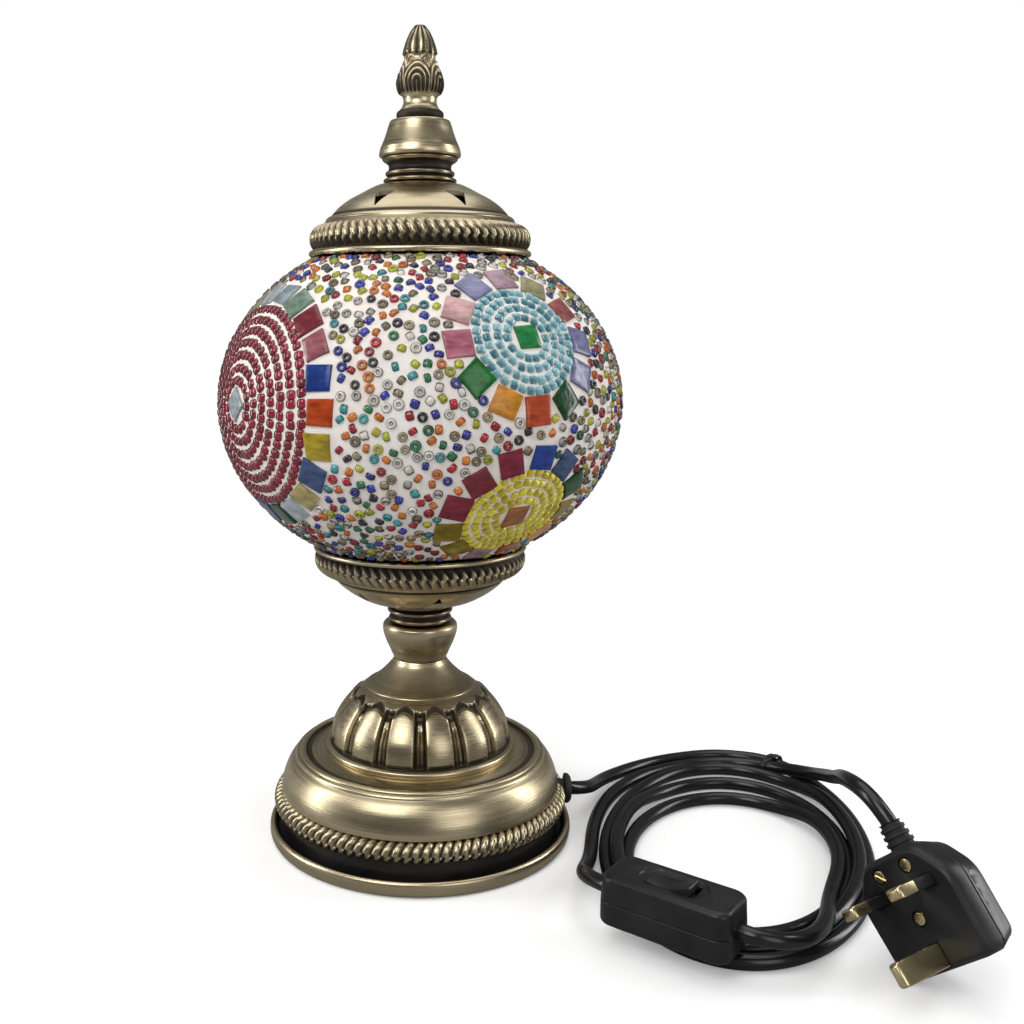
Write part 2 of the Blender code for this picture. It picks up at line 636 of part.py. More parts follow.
def build_switch():
    frame = add_frame("switch_frame", SWITCH_PLACE, (0, 0, SWITCH_TURN))
    half_x = SWITCH_LENGTH / 2
    half_y = SWITCH_WIDTH / 2

    def layer(inset, height):
        return rounded_rectangle(half_x - inset, half_y - inset, 5.5 - inset / 2), height

    bottom = add_object("switch_bottom_shell",
                        stack_z([layer(1.4, 0), layer(0.2, 1.6), layer(0, SWITCH_SPLIT - GAP / 2)]),
                        BLACK_PLASTIC, frame)
    top = add_object("switch_top_shell",
                     stack_z([layer(0, SWITCH_SPLIT + GAP / 2), layer(0.5, 16.4), layer(1.3, 18.2),
                              layer(2.8, SWITCH_HEIGHT)]),
                     BLACK_PLASTIC, frame)
    cavity = (CAVITY_HALF_LENGTH, CAVITY_HALF_WIDTH)
    cut(bottom, block((-cavity[0], -cavity[1], 2), (*cavity, 12)))
    cut(top, block((-cavity[0], -cavity[1], 6), (*cavity, 17.2)))
    for shell in (bottom, top):
        cut(shell, cylinder(CORD_RADIUS + GAP, -40, 40, 16), (0, 0, SWITCH_SPLIT), (0, 90, 0))
    slot = rounded_rectangle(9.7, 4.5, 0.8, 1)
    cut(top, stack_z([(slot, 15), (slot, 21)]))
    recess = rounded_rectangle(12, 6.4, 5.8, 3)
    cut(top, stack_z([(recess, 18.4), (recess, 21)]))

    for name, side in (("switch_screw_a", 1), ("switch_screw_b", -1)):
        place = (side * SWITCH_SCREW[0], side * SWITCH_SCREW[1], 0)
        cut(bottom, turned([(0, -1), (3.1, -1), (3.1, 3), (1.6, 3), (1.6, 12), (0, 12)], 12), place)
        cut(top, cylinder(1.6, 6, 14.4, 12), place)
        screw = [(0, 0.6), (2.7, 0.6), (2.7, 2.7), (1.3, 2.7), (1.3, 13.8), (0, 14.2)]
        add_object(name, turned(screw, 12), ZINC_STEEL, frame, place)

    cradle = add_object("switch_cradle", block((-6, -6.4, 2.3), (6, 6.4, 16.9)), WHITE_CERAMIC, frame)
    cut(cradle, block((-7, -4.3, 7.5), (7, 4.3, 18)))
    cut(cradle, cylinder(1.15, -8, 8, 12), (0, 0, ROCKER_PIVOT), (90, 0, 0))
    for name, side in (("switch_contact_a", 1), ("switch_contact_b", -1)):
        low_x, high_x = sorted((side * 7.2, side * 15.5))
        add_object(name, block((low_x, -3, 2.4), (high_x, 3, 8.2)), BRIGHT_BRASS, frame)

    pivot = (0, 0, ROCKER_PIVOT)
    outline = [(-8.2, 5), (0, 3.6), (8.2, 5), (8, 2), (4.6, -2.6), (0, -4.8), (-4.6, -2.6), (-8, 2)]
    rocker = add_object("rocker_button", stack_y([(outline, -3.9), (outline, 3.9)]),
                        BLACK_PLASTIC, frame, pivot, (0, -ROCKER_TILT, 0))
    cut(rocker, cylinder(1.15, -6, 6, 12), pivot, (90, 0, 0))
    add_object("rocker_pin", cylinder(0.85, -6.2, 6.2, 12), ZINC_STEEL, frame, pivot, (90, 0, 0))


# -------------------------------------------------------------------- plug

def plug_outline(inset):
    """The plug's front outline: straight earth end, shoulders drawn in towards the flex."""
    corners = [(20 - inset, -20 + inset), (21 - inset, 8 - inset / 2), (12 - inset / 2, 20 - inset),
               (-12 + inset / 2, 20 - inset), (-21 + inset, 8 - inset / 2), (-20 + inset, -20 + inset)]
    return rounded_polygon(corners, 4)


def build_plug():
    frame = add_frame("plug_frame", PLUG_PLACE, (0, PLUG_LEAN, PLUG_TURN))
    base = add_object("plug_base",
                      stack_y([(plug_outline(1.2), FACE_Y), (plug_outline(0), FACE_Y + 1.6),
                               (plug_outline(0), PLUG_SPLIT_Y - GAP / 2)]), BLACK_PLASTIC, frame)
    cover = add_object("plug_cover",
                       stack_y([(plug_outline(0), PLUG_SPLIT_Y + GAP / 2), (plug_outline(1.8), 8.5),
                                (plug_outline(4.2), PLUG_BACK_Y - 1), (plug_outline(6), PLUG_BACK_Y)]),
                       BLACK_PLASTIC, frame)
    cut(cover, block((-15, PLUG_SPLIT_Y - 3, -15), (15, 10.6, 12)))
    cut(cover, cylinder(5.2, 5, 28, 16), (0, PLUG_ENTRY_Y, 0))
    cut(base, cylinder(5.2, 11.5, 28, 16), (0, PLUG_ENTRY_Y, 0))

    relief = [(CORD_RADIUS + GAP, 14.5), (4.8, 14.5), (4.8, 21)]
    for ridge in (23, 26):
        relief += [(4.1, ridge - 1.4), (4.6, ridge - 1), (4.6, ridge + 1)]
    relief += [(CORD_RADIUS + GAP, 29)]
    add_object("plug_strain_relief", turned(relief, 12), BLACK_RUBBER, frame,
               (0, PLUG_ENTRY_Y, 0))

    build_pins(frame, base)
    build_plug_screws(frame, base)
    fuse = cylinder(3.1, -12, 13, 12)
    add_object("plug_fuse", fuse, WHITE_CERAMIC, frame, (9.8, 6.2, -1))


def build_pins(frame, base):
    power_length = 17.7
    earth_length = 22.7
    root_y = PLUG_SPLIT_Y - 0.5
    earth_z = PIN_ROW - PIN_PITCH
    for name, side in (("live_pin", 1), ("neutral_pin", -1)):
        x = side * PIN_PITCH / 2
        tip_y = FACE_Y - power_length
        pin = [((rounded_rectangle(3.175 - shrink, 2.0 - shrink, 0.5, 1)), depth)
               for depth, shrink in ((tip_y, 0.7), (tip_y + 1.2, 0.0), (tip_y + 8.4, 0.0))]
        shank = [((rounded_rectangle(2.6, 1.45, 0.4, 1)), depth) for depth in (tip_y + 8.4, root_y)]
        layers = pin + [(shank[0][0], shank[0][1] + 0.01), shank[1]]
        add_object(name, stack_y(layers), BRIGHT_BRASS, frame, (x, 0, PIN_ROW))
        outer = rounded_rectangle(3.175, 2.0, 0.5, 1)
        sleeve = add_object(f"{name}_sleeve", stack_y([(outer, tip_y + 8.8), (outer, root_y - 1)]),
                            BLACK_PLASTIC, frame, (x, 0, PIN_ROW))
        cut(sleeve, block((-2.9, tip_y + 5, -1.75), (2.9, root_y + 2, 1.75)), (x, 0, PIN_ROW))
        cut(base, block((-3.5, FACE_Y - 2, -2.3), (3.5, root_y + 2, 2.3)), (x, 0, PIN_ROW))
    tip_y = FACE_Y - earth_length
    earth = [(rounded_rectangle(2.0 - shrink, 4.0 - shrink, 0.5, 1), depth)
             for depth, shrink in ((tip_y, 0.8), (tip_y + 1.6, 0.0), (root_y, 0.0))]
    add_object("earth_pin", stack_y(earth), BRIGHT_BRASS, frame, (0, 0, earth_z))
    cut(base, block((-2.3, FACE_Y - 2, -4.3), (2.3, root_y + 2, 4.3)), (0, 0, earth_z))


def build_plug_screws(frame, base):
    screws = (("plug_cover_screw", 0, -2.4), ("cord_grip_screw_a", 6.4, 14.4),
              ("cord_grip_screw_b", -6.4, 14.4))
    for name, x, z in screws:
        head = [(0, FACE_Y + 0.4), (2.4, FACE_Y + 0.4), (2.4, FACE_Y + 2.2), (1.3, FACE_Y + 2.2),
                (1.3, PLUG_SPLIT_Y - 1), (0, PLUG_SPLIT_Y - 1)]
        hole = [(0, FACE_Y - 3), (2.8, FACE_Y - 3), (2.8, FACE_Y + 2.6), (1.7, FACE_Y + 2.6),
                (1.7, PLUG_SPLIT_Y - 0.4), (0, PLUG_SPLIT_Y - 0.4)]
        cut(base, turned(hole, 12), (x, 0, z), (-90, 0, 0))
        add_object(name, turned(head, 12), BRIGHT_BRASS, frame, (x, 0, z), (-90, 0, 0))


clear_scene()
build_foot()
build_bell()
build_column()
build_dish()
build_lampholder()
build_bulb()
build_globe()
build_cap()
build_flex()
build_switch()
build_plug()
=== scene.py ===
"""Looks of the mosaic glass table lamp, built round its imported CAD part.

Lengths are in millimetres until a mesh is made. The lamp's axis is Z and its front faces -Y.
"""

import random
from math import cos, degrees, floor, hypot, pi, radians, sin, sqrt, tau

import bmesh
import bpy
from mathutils import Matrix, Vector


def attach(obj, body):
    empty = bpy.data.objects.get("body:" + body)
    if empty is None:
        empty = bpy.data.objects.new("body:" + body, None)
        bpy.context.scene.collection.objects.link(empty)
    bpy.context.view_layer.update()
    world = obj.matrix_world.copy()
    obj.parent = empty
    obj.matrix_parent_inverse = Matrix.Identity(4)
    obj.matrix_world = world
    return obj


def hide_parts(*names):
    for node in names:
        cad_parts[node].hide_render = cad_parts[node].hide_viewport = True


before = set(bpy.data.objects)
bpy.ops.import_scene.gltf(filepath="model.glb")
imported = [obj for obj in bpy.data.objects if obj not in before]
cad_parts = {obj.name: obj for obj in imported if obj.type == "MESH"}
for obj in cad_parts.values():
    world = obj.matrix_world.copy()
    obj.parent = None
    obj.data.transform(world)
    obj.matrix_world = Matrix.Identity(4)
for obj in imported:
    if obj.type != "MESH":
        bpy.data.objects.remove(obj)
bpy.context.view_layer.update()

MM = 0.001
SAME_PLACE = 0.02              # points of an outline closer than this are one
WELD = 1e-7                    # in metres
CREASE = 38                    # edges that turn by more degrees than this stay crisp
EDGE_TURN = 32                 # edges that turn by more degrees than this are bevelled
ROPE_ROWS = 28                 # points round a rope's section, and along each of its ribs
RIB_COLUMNS = 10


# ---- outlines ----

def smooth_run(points, steps=6):
    """Catmull-Rom curve through the points."""
    points = [Vector(point) for point in points]
    padded = [2 * points[0] - points[1]] + points + [2 * points[-1] - points[-2]]
    path = []
    for i in range(1, len(padded) - 2):
        before, start, end, after = padded[i - 1:i + 3]
        for k in range(steps):
            t = k / steps
            path.append(0.5 * (2 * start + (end - before) * t
                               + (2 * before - 5 * start + 4 * end - after) * t ** 2
                               + (3 * start - before - 3 * end + after) * t ** 3))
    path.append(points[-1])
    return path


def outline(*runs, steps=6):
    """Smooth runs of (radius, height); each starts where the one before it ended, at a crisp corner."""
    points = []
    corner = []
    for run in runs:
        for point in smooth_run(corner + run, steps):
            if not points or (point - points[-1]).length > SAME_PLACE:
                points.append(point)
        corner = run[-1:]
    if (points[0] - points[-1]).length < SAME_PLACE:
        points.pop()
    return points


def arc(centre, radius, start, end, steps):
    points = []
    for i in range(steps + 1):
        angle = radians(start + (end - start) * i / steps)
        points.append((centre[0] + radius * cos(angle), centre[1] + radius * sin(angle)))
    return points


def circle(sides, centre, radius):
    return arc(centre, radius, 0, 360 - 360 / sides, sides - 1)


def rectangle(half_x, half_y, x=0.0, y=0.0):
    return [(x + half_x, y + half_y), (x - half_x, y + half_y), (x - half_x, y - half_y),
            (x + half_x, y - half_y)]


def rounded_rectangle(half_x, half_y, corner, steps=6):
    points = []
    for side_x, side_y, start in ((1, 1, 0), (-1, 1, 90), (-1, -1, 180), (1, -1, 270)):
        centre = (side_x * (half_x - corner), side_y * (half_y - corner))
        points += arc(centre, corner, start, start + 90, steps)
    return points


def rounded_polygon(corners, radius, steps=6):
    """The corners of a convex polygon, each cut by a quadratic curve."""
    points = []
    for i, here in enumerate(corners):
        here = Vector(here)
        before = Vector(corners[i - 1]) - here
        after = Vector(corners[(i + 1) % len(corners)]) - here
        start = here + before.normalized() * radius
        end = here + after.normalized() * radius
        for k in range(steps + 1):
            t = k / steps
            points.append(tuple((1 - t) ** 2 * start + 2 * t * (1 - t) * here + t ** 2 * end))
    return points


def ease(value, low, high):
    """0 below low, 1 above high, smooth between."""
    t = min(max((value - low) / (high - low), 0.0), 1.0)
    return t * t * (3 - 2 * t)


# ---- meshes ----

def grid_faces(rows, columns, wrap_rows, wrap_columns):
    faces = []
    for i in range(rows if wrap_rows else rows - 1):
        low = i * columns
        high = (i + 1) % rows * columns
        for k in range(columns if wrap_columns else columns - 1):
            following = (k + 1) % columns
            faces.append((low + k, low + following, high + following, high + k))
    return faces


def linked(name, data):
    item = bpy.data.objects.new(name, data)
    bpy.context.scene.collection.objects.link(item)
    return item


def make_piece(name, verts, faces, material, body, nodes=(), wear_and_shade=None, sharp=CREASE, place=None):
    """A mesh piece in metres that rides on a body and stands for some CAD nodes."""
    mesh = bpy.data.meshes.new(name)
    mesh.from_pydata([tuple(co) for co in verts], [], faces)
    if wear_and_shade is not None:
        mesh.attributes.new("wear_and_shade", 'FLOAT', 'POINT').data.foreach_set("value", wear_and_shade)
    mesh.transform(Matrix.Scale(MM, 4) @ (place or Matrix.Identity(4)))
    bm = bmesh.new()
    bm.from_mesh(mesh)
    bmesh.ops.remove_doubles(bm, verts=bm.verts, dist=WELD)
    bmesh.ops.recalc_face_normals(bm, faces=bm.faces)
    bm.to_mesh(mesh)
    bm.free()
    return finish_piece(name, mesh, material, body, nodes, sharp)


def finish_piece(name, mesh, material, body, nodes=(), sharp=CREASE):
    mesh.shade_smooth()
    mesh.set_sharp_from_angle(angle=radians(sharp))
    item = linked(name, mesh)
    mesh.materials.append(material)
    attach(item, body)
    if nodes:
        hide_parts(*nodes)
    return item


def outline_normals(points, closed):
    """Outward normals of an outline that runs with its solid on the left or right alike."""
    count = len(points)
    area = 0.0
    for i in range(count):
        a, b = points[i], points[(i + 1) % count]
        area += a[0] * b[1] - b[0] * a[1]
    sign = 1 if area > 0 or not closed else -1
    normals = []
    for i in range(count):
        before = points[i - 1] if closed or i else points[i]
        after = points[(i + 1) % count] if closed or i < count - 1 else points[i]
        along = (after - before).normalized()
        normals.append(Vector((along[1], -along[0])) * sign)
    return normals


def outline_wear(points, normals, closed, reach=2.2, depth=0.3):
    """-1 in a hollow of the outline, +1 on a ridge, judged against neighbours within reach."""
    count = len(points)
    values = []
    for i, point in enumerate(points):
        ends = []
        for step in (-1, 1):
            k = i
            travelled = 0.0
            while travelled < reach:
                following = k + step
                if not closed and not 0 <= following < count:
                    break
                travelled += (points[following % count] - points[k % count]).length
                k = following
                if abs(k - i) > count:
                    break
            ends.append(points[k % count])
        swell = (point - (ends[0] + ends[1]) / 2).dot(normals[i])
        values.append(max(-1.0, min(1.0, swell / depth)))
    return values


def lathe(name, points, columns, material, body, nodes=(), relief=None, place=None, closed=True,
          sharp=CREASE):
    """Revolve an outline about Z; relief(angle, radius, height) gives a push along the outline's
    normal and how hollow the point is."""
    points = [Vector(point[:2]) for point in points]
    normals = outline_normals(points, closed)
    base_wear = outline_wear(points, normals, closed)
    verts = []
    wear_and_shade = []
    for i, point in enumerate(points):
        for k in range(columns):
            angle = tau * k / columns
            push, hollow = relief(angle, point[0], point[1]) if relief else (0.0, 0.0)
            radius = max(point[0] + normals[i][0] * push, 0.0)
            verts.append((radius * cos(angle), radius * sin(angle),
                          point[1] + normals[i][1] * push))
            wear_and_shade.append(max(-1.0, min(1.0, base_wear[i] - hollow)))
    faces = grid_faces(len(points), columns, closed, True)
    return make_piece(name, verts, faces, material, body, nodes, wear_and_shade, sharp, place)


def rope_band(name, ring_radius, height, tube_radius, ribs, twist, depth, painted_shade_side, metal, body="lamp"):
    """A twisted rope lying in a ring: a torus whose surface swells in leaning ribs. A positive shade
    amount darkens its upper half with painted shade, a negative one its lower half."""
    columns = ribs * RIB_COLUMNS
    verts = []
    wear_and_shade = []
    for i in range(ROPE_ROWS):
        turn = tau * i / ROPE_ROWS
        # painted shade: one half of the rope, and a little of the whole, darkened as if in shadow
        painted_shade = max(0.0, painted_shade_side * sin(turn) + 0.25 * abs(painted_shade_side))
        for k in range(columns):
            angle = tau * k / columns
            phase = ribs * angle / tau + twist * turn / tau
            rib = abs(sin(pi * phase)) ** 0.8
            reach = tube_radius - depth * (1 - rib)
            radius = ring_radius + reach * cos(turn)
            verts.append((radius * cos(angle), radius * sin(angle),
                          height + reach * sin(turn)))
            # ribs rubbed bright and patina between them, less the painted shade
            wear_and_shade.append(1.9 * rib - 1.35 - painted_shade)
    return make_piece(name, verts, grid_faces(ROPE_ROWS, columns, True, True), metal, body, (), wear_and_shade)


def loft(rings):
    """Skin a stack of equal rings and close both ends; returns a bmesh in millimetres."""
    bm = bmesh.new()
    rows = [[bm.verts.new(point) for point in ring] for ring in rings]
    count = len(rows[0])
    for low, high in zip(rows, rows[1:]):
        for i in range(count):
            j = (i + 1) % count
            bm.faces.new((low[i], low[j], high[j], high[i]))
    bm.faces.new(list(reversed(rows[0])))
    bm.faces.new(rows[-1])
    bmesh.ops.recalc_face_normals(bm, faces=bm.faces)
    return bm


def stack_z(layers):
    return loft([[(x, y, height) for x, y in ring] for ring, height in layers])


def stack_y(layers):
    return loft([[(x, depth, z) for x, z in ring] for ring, depth in layers])


def prism_z(ring, low, high):
    return stack_z([(ring, low), (ring, high)])


def prism_y(ring, low, high):
    return stack_y([(ring, low), (ring, high)])


def from_bmesh(name, bm, material, body, nodes=(), place=None, cutters=(), bevel=0.0, sharp=CREASE):
    """A piece from a bmesh, cut by other bmeshes and with its edges eased by a bevel."""
    mesh = bpy.data.meshes.new(name)
    bm.to_mesh(mesh)
    bm.free()
    scaled = Matrix.Scale(MM, 4) @ (place or Matrix.Identity(4))
    mesh.transform(scaled)
    if cutters or bevel:
        mesh = worked_mesh(name, mesh, cutters, bevel, scaled)
    return finish_piece(name, mesh, material, body, nodes, sharp)


def worked_mesh(name, mesh, cutters, bevel, scaled):
    target = linked(name + "_blank", mesh)
    tools = []
    for number, cutter in enumerate(cutters):
        tool_mesh = bpy.data.meshes.new(f"{name}_tool_{number}")
        cutter.to_mesh(tool_mesh)
        cutter.free()
        tool_mesh.transform(scaled)
        tool = linked(tool_mesh.name, tool_mesh)
        tools.append(tool)
        boolean = target.modifiers.new(tool.name, 'BOOLEAN')
        boolean.operation = 'DIFFERENCE'
        boolean.object = tool
    if bevel:
        easing = target.modifiers.new("ease", 'BEVEL')
        easing.width = bevel * MM
        easing.segments = 2
        easing.limit_method = 'ANGLE'
        easing.angle_limit = radians(EDGE_TURN)
    bpy.context.view_layer.update()
    evaluated = target.evaluated_get(bpy.context.evaluated_depsgraph_get())
    result = bpy.data.meshes.new_from_object(evaluated)
    for item in tools + [target]:
        bpy.data.objects.remove(item)
    result.name = name
    return result


def tube(path, radius, sides=18):
    """Rings of a circle swept along a path without twist."""
    path = [Vector(point) for point in path]
    last = len(path) - 1
    tangents = [(path[min(i + 1, last)] - path[max(i - 1, 0)]).normalized()
                for i in range(len(path))]
    up = Vector((0, 0, 1)) if abs(tangents[0].z) < 0.9 else Vector((1, 0, 0))
    normal = (up - tangents[0] * up.dot(tangents[0])).normalized()
    rings = []
    for point, tangent in zip(path, tangents):
        normal = (normal - tangent * normal.dot(tangent)).normalized()
        side = tangent.cross(normal)
        ring = []
        for i in range(sides):
            angle = tau * i / sides
            ring.append(point + radius * (normal * cos(angle) + side * sin(angle)))
        rings.append(ring)
    return rings


# ---- materials ----

class Finish:
    """Short-hand for building one node material."""

    def __init__(self, name, slot):
        self.material = bpy.data.materials.new(name)
        self.material.use_nodes = True
        self.material["slot"] = slot
        self.tree = self.material.node_tree
        self.shader = self.tree.nodes["Principled BSDF"]

    def node(self, kind, **inputs):
        made = self.tree.nodes.new(kind)
        for key, value in inputs.items():
            self.feed(made.inputs[key.replace("_", " ")], value)
        return made

    def feed(self, socket, value):
        if isinstance(value, bpy.types.NodeSocket):
            self.tree.links.new(value, socket)
        elif isinstance(value, (tuple, list)) and socket.type == 'RGBA' and len(value) == 3:
            socket.default_value = (*value, 1)
        else:
            socket.default_value = value

    def set(self, **inputs):
        for key, value in inputs.items():
            self.feed(self.shader.inputs[key.replace("_", " ")], value)

    def math(self, operation, first, second=0.0, clamp=False):
        made = self.tree.nodes.new("ShaderNodeMath")
        made.operation = operation
        made.use_clamp = clamp
        self.feed(made.inputs[0], first)
        self.feed(made.inputs[1], second)
        return made.outputs[0]

    def mix(self, factor, first, second, blend='MIX'):
        made = self.tree.nodes.new("ShaderNodeMix")
        made.data_type = 'RGBA'
        made.blend_type = blend
        self.feed(made.inputs[0], factor)
        self.feed(made.inputs[6], first)
        self.feed(made.inputs[7], second)
        return made.outputs[2]

    def spread(self, value, low, high, to_low=0.0, to_high=1.0):
        """Map a range of a value onto another, clamped."""
        made = self.tree.nodes.new("ShaderNodeMapRange")
        for socket, number in zip(made.inputs[:5], (value, low, high, to_low, to_high)):
            self.feed(socket, number)
        return made.outputs[0]

    def object_point(self):
        return self.tree.nodes.new("ShaderNodeTexCoord").outputs["Object"]

    def scaled(self, vector, scale):
        made = self.tree.nodes.new("ShaderNodeVectorMath")
        made.operation = 'MULTIPLY'
        self.feed(made.inputs[0], vector)
        made.inputs[1].default_value = scale
        return made.outputs[0]

    def noise(self, vector, scale, detail=3.0, roughness=0.5):
        made = self.node("ShaderNodeTexNoise", Vector=vector, Scale=scale, Detail=detail,
                         Roughness=roughness)
        return made.outputs["Fac"]

    def attribute(self, name, output="Fac"):
        made = self.tree.nodes.new("ShaderNodeAttribute")
        made.attribute_name = name
        return made.outputs[output]

    def bump(self, height, strength, distance=0.0003):
        made = self.node("ShaderNodeBump", Height=height, Strength=strength, Distance=distance)
        self.feed(self.shader.inputs["Normal"], made.outputs[0])


def turned_lines(finish):
    """Fine rings left by polishing on a lathe: noise that changes fast with radius and height."""
    point = finish.object_point()
    split = finish.node("ShaderNodeSeparateXYZ", Vector=point).outputs
    square = finish.math('ADD', finish.math('MULTIPLY', split[0], split[0]),
                         finish.math('MULTIPLY', split[1], split[1]))
    radius = finish.math('POWER', square, 0.5)
    squeezed = finish.scaled(point, (30, 30, 2600))
    made = finish.tree.nodes.new("ShaderNodeTexNoise")
    made.noise_dimensions = '4D'
    finish.feed(made.inputs["Vector"], squeezed)
    finish.feed(made.inputs["W"], finish.math('MULTIPLY', radius, 2600))
    made.inputs["Scale"].default_value = 1.0
    made.inputs["Detail"].default_value = 2.0
    return made.outputs["Fac"]


def antique_metal(name, slot, light, mid, dark, roughness=0.27):
    """Plated metal rubbed bright on its ridges and left dark in its hollows, and darkened as painted shade
    where a piece's wear values carry it, as on one half of each rope.
    """
    finish = Finish(name, slot)
    point = finish.object_point()
    clouds = finish.noise(point, 28, 4, 0.6)
    lines = turned_lines(finish)
    wear_and_shade = finish.attribute("wear_and_shade")
    hollow = finish.spread(wear_and_shade, 0.0, -0.85)
    ridge = finish.spread(wear_and_shade, 0.15, 0.9)
    body = finish.mix(finish.spread(clouds, 0.35, 0.7), mid, light)
    body = finish.mix(finish.spread(lines, 0.3, 0.75, 0.0, 0.5), body, mid)
    body = finish.mix(finish.math('MULTIPLY', ridge, 0.7), body, light)
    # patina in the hollows, together with the painted shade that the ropes put into the same values
    patina_and_shade = finish.math('MULTIPLY', hollow, finish.spread(clouds, 0.2, 0.6, 0.75, 1.0))
    colour = finish.mix(patina_and_shade, body, dark)
    rough = finish.math('ADD', finish.spread(lines, 0.25, 0.8, roughness - 0.06, roughness + 0.12),
                        finish.math('MULTIPLY', patina_and_shade, 0.2))
    metallic = finish.math('SUBTRACT', 1.0, finish.math('MULTIPLY', patina_and_shade, 0.35))
    finish.set(Base_Color=colour, Roughness=rough, Metallic=metallic, Anisotropic=0.55)
    tangent = finish.tree.nodes.new("ShaderNodeTangent")
    tangent.direction_type = 'RADIAL'
    tangent.axis = 'Z'
    finish.feed(finish.shader.inputs["Tangent"], tangent.outputs[0])
    finish.bump(lines, 0.12, 0.0002)
    return finish.material


def plain_metal(name, slot, colour, roughness):
    """Machined or plated metal with faint blotches and scratches."""
    finish = Finish(name, slot)
    point = finish.object_point()
    clouds = finish.noise(point, 120, 4, 0.6)
    scratches = finish.noise(finish.scaled(point, (200, 1800, 1800)), 1, 2)
    darker = tuple(channel * 0.78 for channel in colour)
    finish.set(Base_Color=finish.mix(finish.spread(clouds, 0.35, 0.7), darker, colour),
               Roughness=finish.spread(scratches, 0.3, 0.7, roughness - 0.01, roughness + 0.03),
               Metallic=1.0)
    finish.bump(scratches, 0.01, 0.00002)
    return finish.material


def moulded_plastic(name, slot, colour, roughness, grain=0.25):
    """Moulded plastic or rubber: fine spark-eroded grain and slight uneven sheen."""
    finish = Finish(name, slot)
    point = finish.object_point()
    texture = finish.noise(point, 2600, 2)
    sheen = finish.noise(point, 60, 3)
    lighter = tuple(min(channel * 1.5 + 0.004, 1) for channel in colour)
    finish.set(Base_Color=finish.mix(finish.spread(sheen, 0.35, 0.7), colour, lighter),
               Roughness=finish.spread(sheen, 0.3, 0.7, roughness - 0.06, roughness + 0.08),
               Specular_IOR_Level=0.36)
    finish.bump(texture, grain, 0.0001)
    return finish.material


def flex_jacket(name, slot):
    """Glossy extruded PVC: very fine ripple, a few dull scuffs."""
    finish = Finish(name, slot)
    point = finish.object_point()
    ripple = finish.noise(point, 350, 2)
    scuffs = finish.noise(point, 90, 4, 0.65)
    finish.set(Base_Color=finish.mix(finish.spread(scuffs, 0.4, 0.7), (0.006, 0.006, 0.007),
                                     (0.010, 0.010, 0.011)),
               Roughness=finish.spread(scuffs, 0.4, 0.75, 0.22, 0.3))
    finish.bump(ripple, 0.04, 0.0003)
    return finish.material


def coloured_glass(name, slot, colour, dark, clear=0.0, cored=False):
    """Bead glass: each bead a little lighter or darker, cloudy streaks inside, its outline darkened with
    painted shade; a cored bead instead gets painted shade in its middle, where its hole shows, and a lighter
    rim."""
    finish = Finish(name, slot)
    shade = finish.attribute("shade")
    streaks = finish.noise(finish.object_point(), 900, 3)
    facing = finish.node("ShaderNodeLayerWeight", Blend=0.5).outputs["Facing"]
    # painted shade and light by viewing angle, facing the camera against turned away
    if cored:
        painted_facing_shade = finish.spread(facing, 0.02, 0.4, -0.45, 0.15)
    else:
        painted_facing_shade = finish.spread(facing, 0.15, 0.66, 0.1, -1.2)
    blend = finish.math('ADD', finish.math('MULTIPLY', shade, 0.65), finish.math('MULTIPLY', streaks, 0.5))
    blend = finish.math('ADD', blend, painted_facing_shade, True)
    finish.set(Base_Color=finish.mix(blend, dark, colour), Roughness=0.07, IOR=1.5,
               Transmission_Weight=clear, Coat_Weight=0.5, Coat_Roughness=0.04)
    return finish.material


def tile_glass(name, slot):
    """Flat stained glass: the tile's own colour, wispy streaks and a hammered surface."""
    finish = Finish(name, slot)
    point = finish.object_point()
    own = finish.attribute("tile_colour", "Color")
    wisps = finish.noise(finish.scaled(point, (1, 1, 2.4)), 170, 5, 0.62)
    ripple = finish.noise(point, 420, 2)
    lighter = finish.mix(0.2, own, (1, 1, 1), 'SOFT_LIGHT')
    darker = finish.mix(1.0, own, (0.55, 0.55, 0.55), 'MULTIPLY')
    colour = finish.mix(finish.spread(wisps, 0.35, 0.68), darker, lighter)
    finish.set(Base_Color=colour, Roughness=0.22, Coat_Weight=0.15, Coat_Roughness=0.08,
               Specular_IOR_Level=0.35)
    finish.bump(ripple, 0.35, 0.0005)
    return finish.material


def plaster(name, slot):
    """White grout with a warm pink tint, grainy and slightly dirty between the beads."""
    finish = Finish(name, slot)
    point = finish.object_point()
    clouds = finish.noise(point, 45, 4, 0.6)
    grain = finish.noise(point, 1500, 3)
    finish.set(Base_Color=finish.mix(finish.spread(clouds, 0.35, 0.7), (0.87, 0.79, 0.73),
                                     (0.93, 0.89, 0.84)),
               Roughness=finish.spread(grain, 0.3, 0.7, 0.75, 0.9))
    finish.bump(grain, 0.5, 0.0003)
    return finish.material


def felt(name, slot, colour):
    finish = Finish(name, slot)
    point = finish.object_point()
    fibres = finish.noise(finish.scaled(point, (1, 1, 0.3)), 3000, 4, 0.7)
    lighter = tuple(channel * 2 for channel in colour)
    finish.set(Base_Color=finish.mix(fibres, colour, lighter), Roughness=0.95, Sheen_Weight=0.4)
    finish.bump(fibres, 0.8, 0.0004)
    return finish.material


def clear_glass(name, slot, tint):
    finish = Finish(name, slot)
    waves = finish.noise(finish.object_point(), 30, 2)
    finish.set(Base_Color=finish.mix(finish.spread(waves, 0.4, 0.6), tint, (1, 1, 1)),
               Roughness=0.02, Transmission_Weight=1.0, IOR=1.5)
    finish.bump(waves, 0.05, 0.001)
    return finish.material


def frosted_glass(name, slot):
    finish = Finish(name, slot)
    cloud = finish.noise(finish.object_point(), 60, 3)
    finish.set(Base_Color=finish.mix(cloud, (0.84, 0.82, 0.78), (0.95, 0.94, 0.9)), Roughness=0.25,
               Subsurface_Weight=0.3, Subsurface_Scale=0.004)
    return finish.material


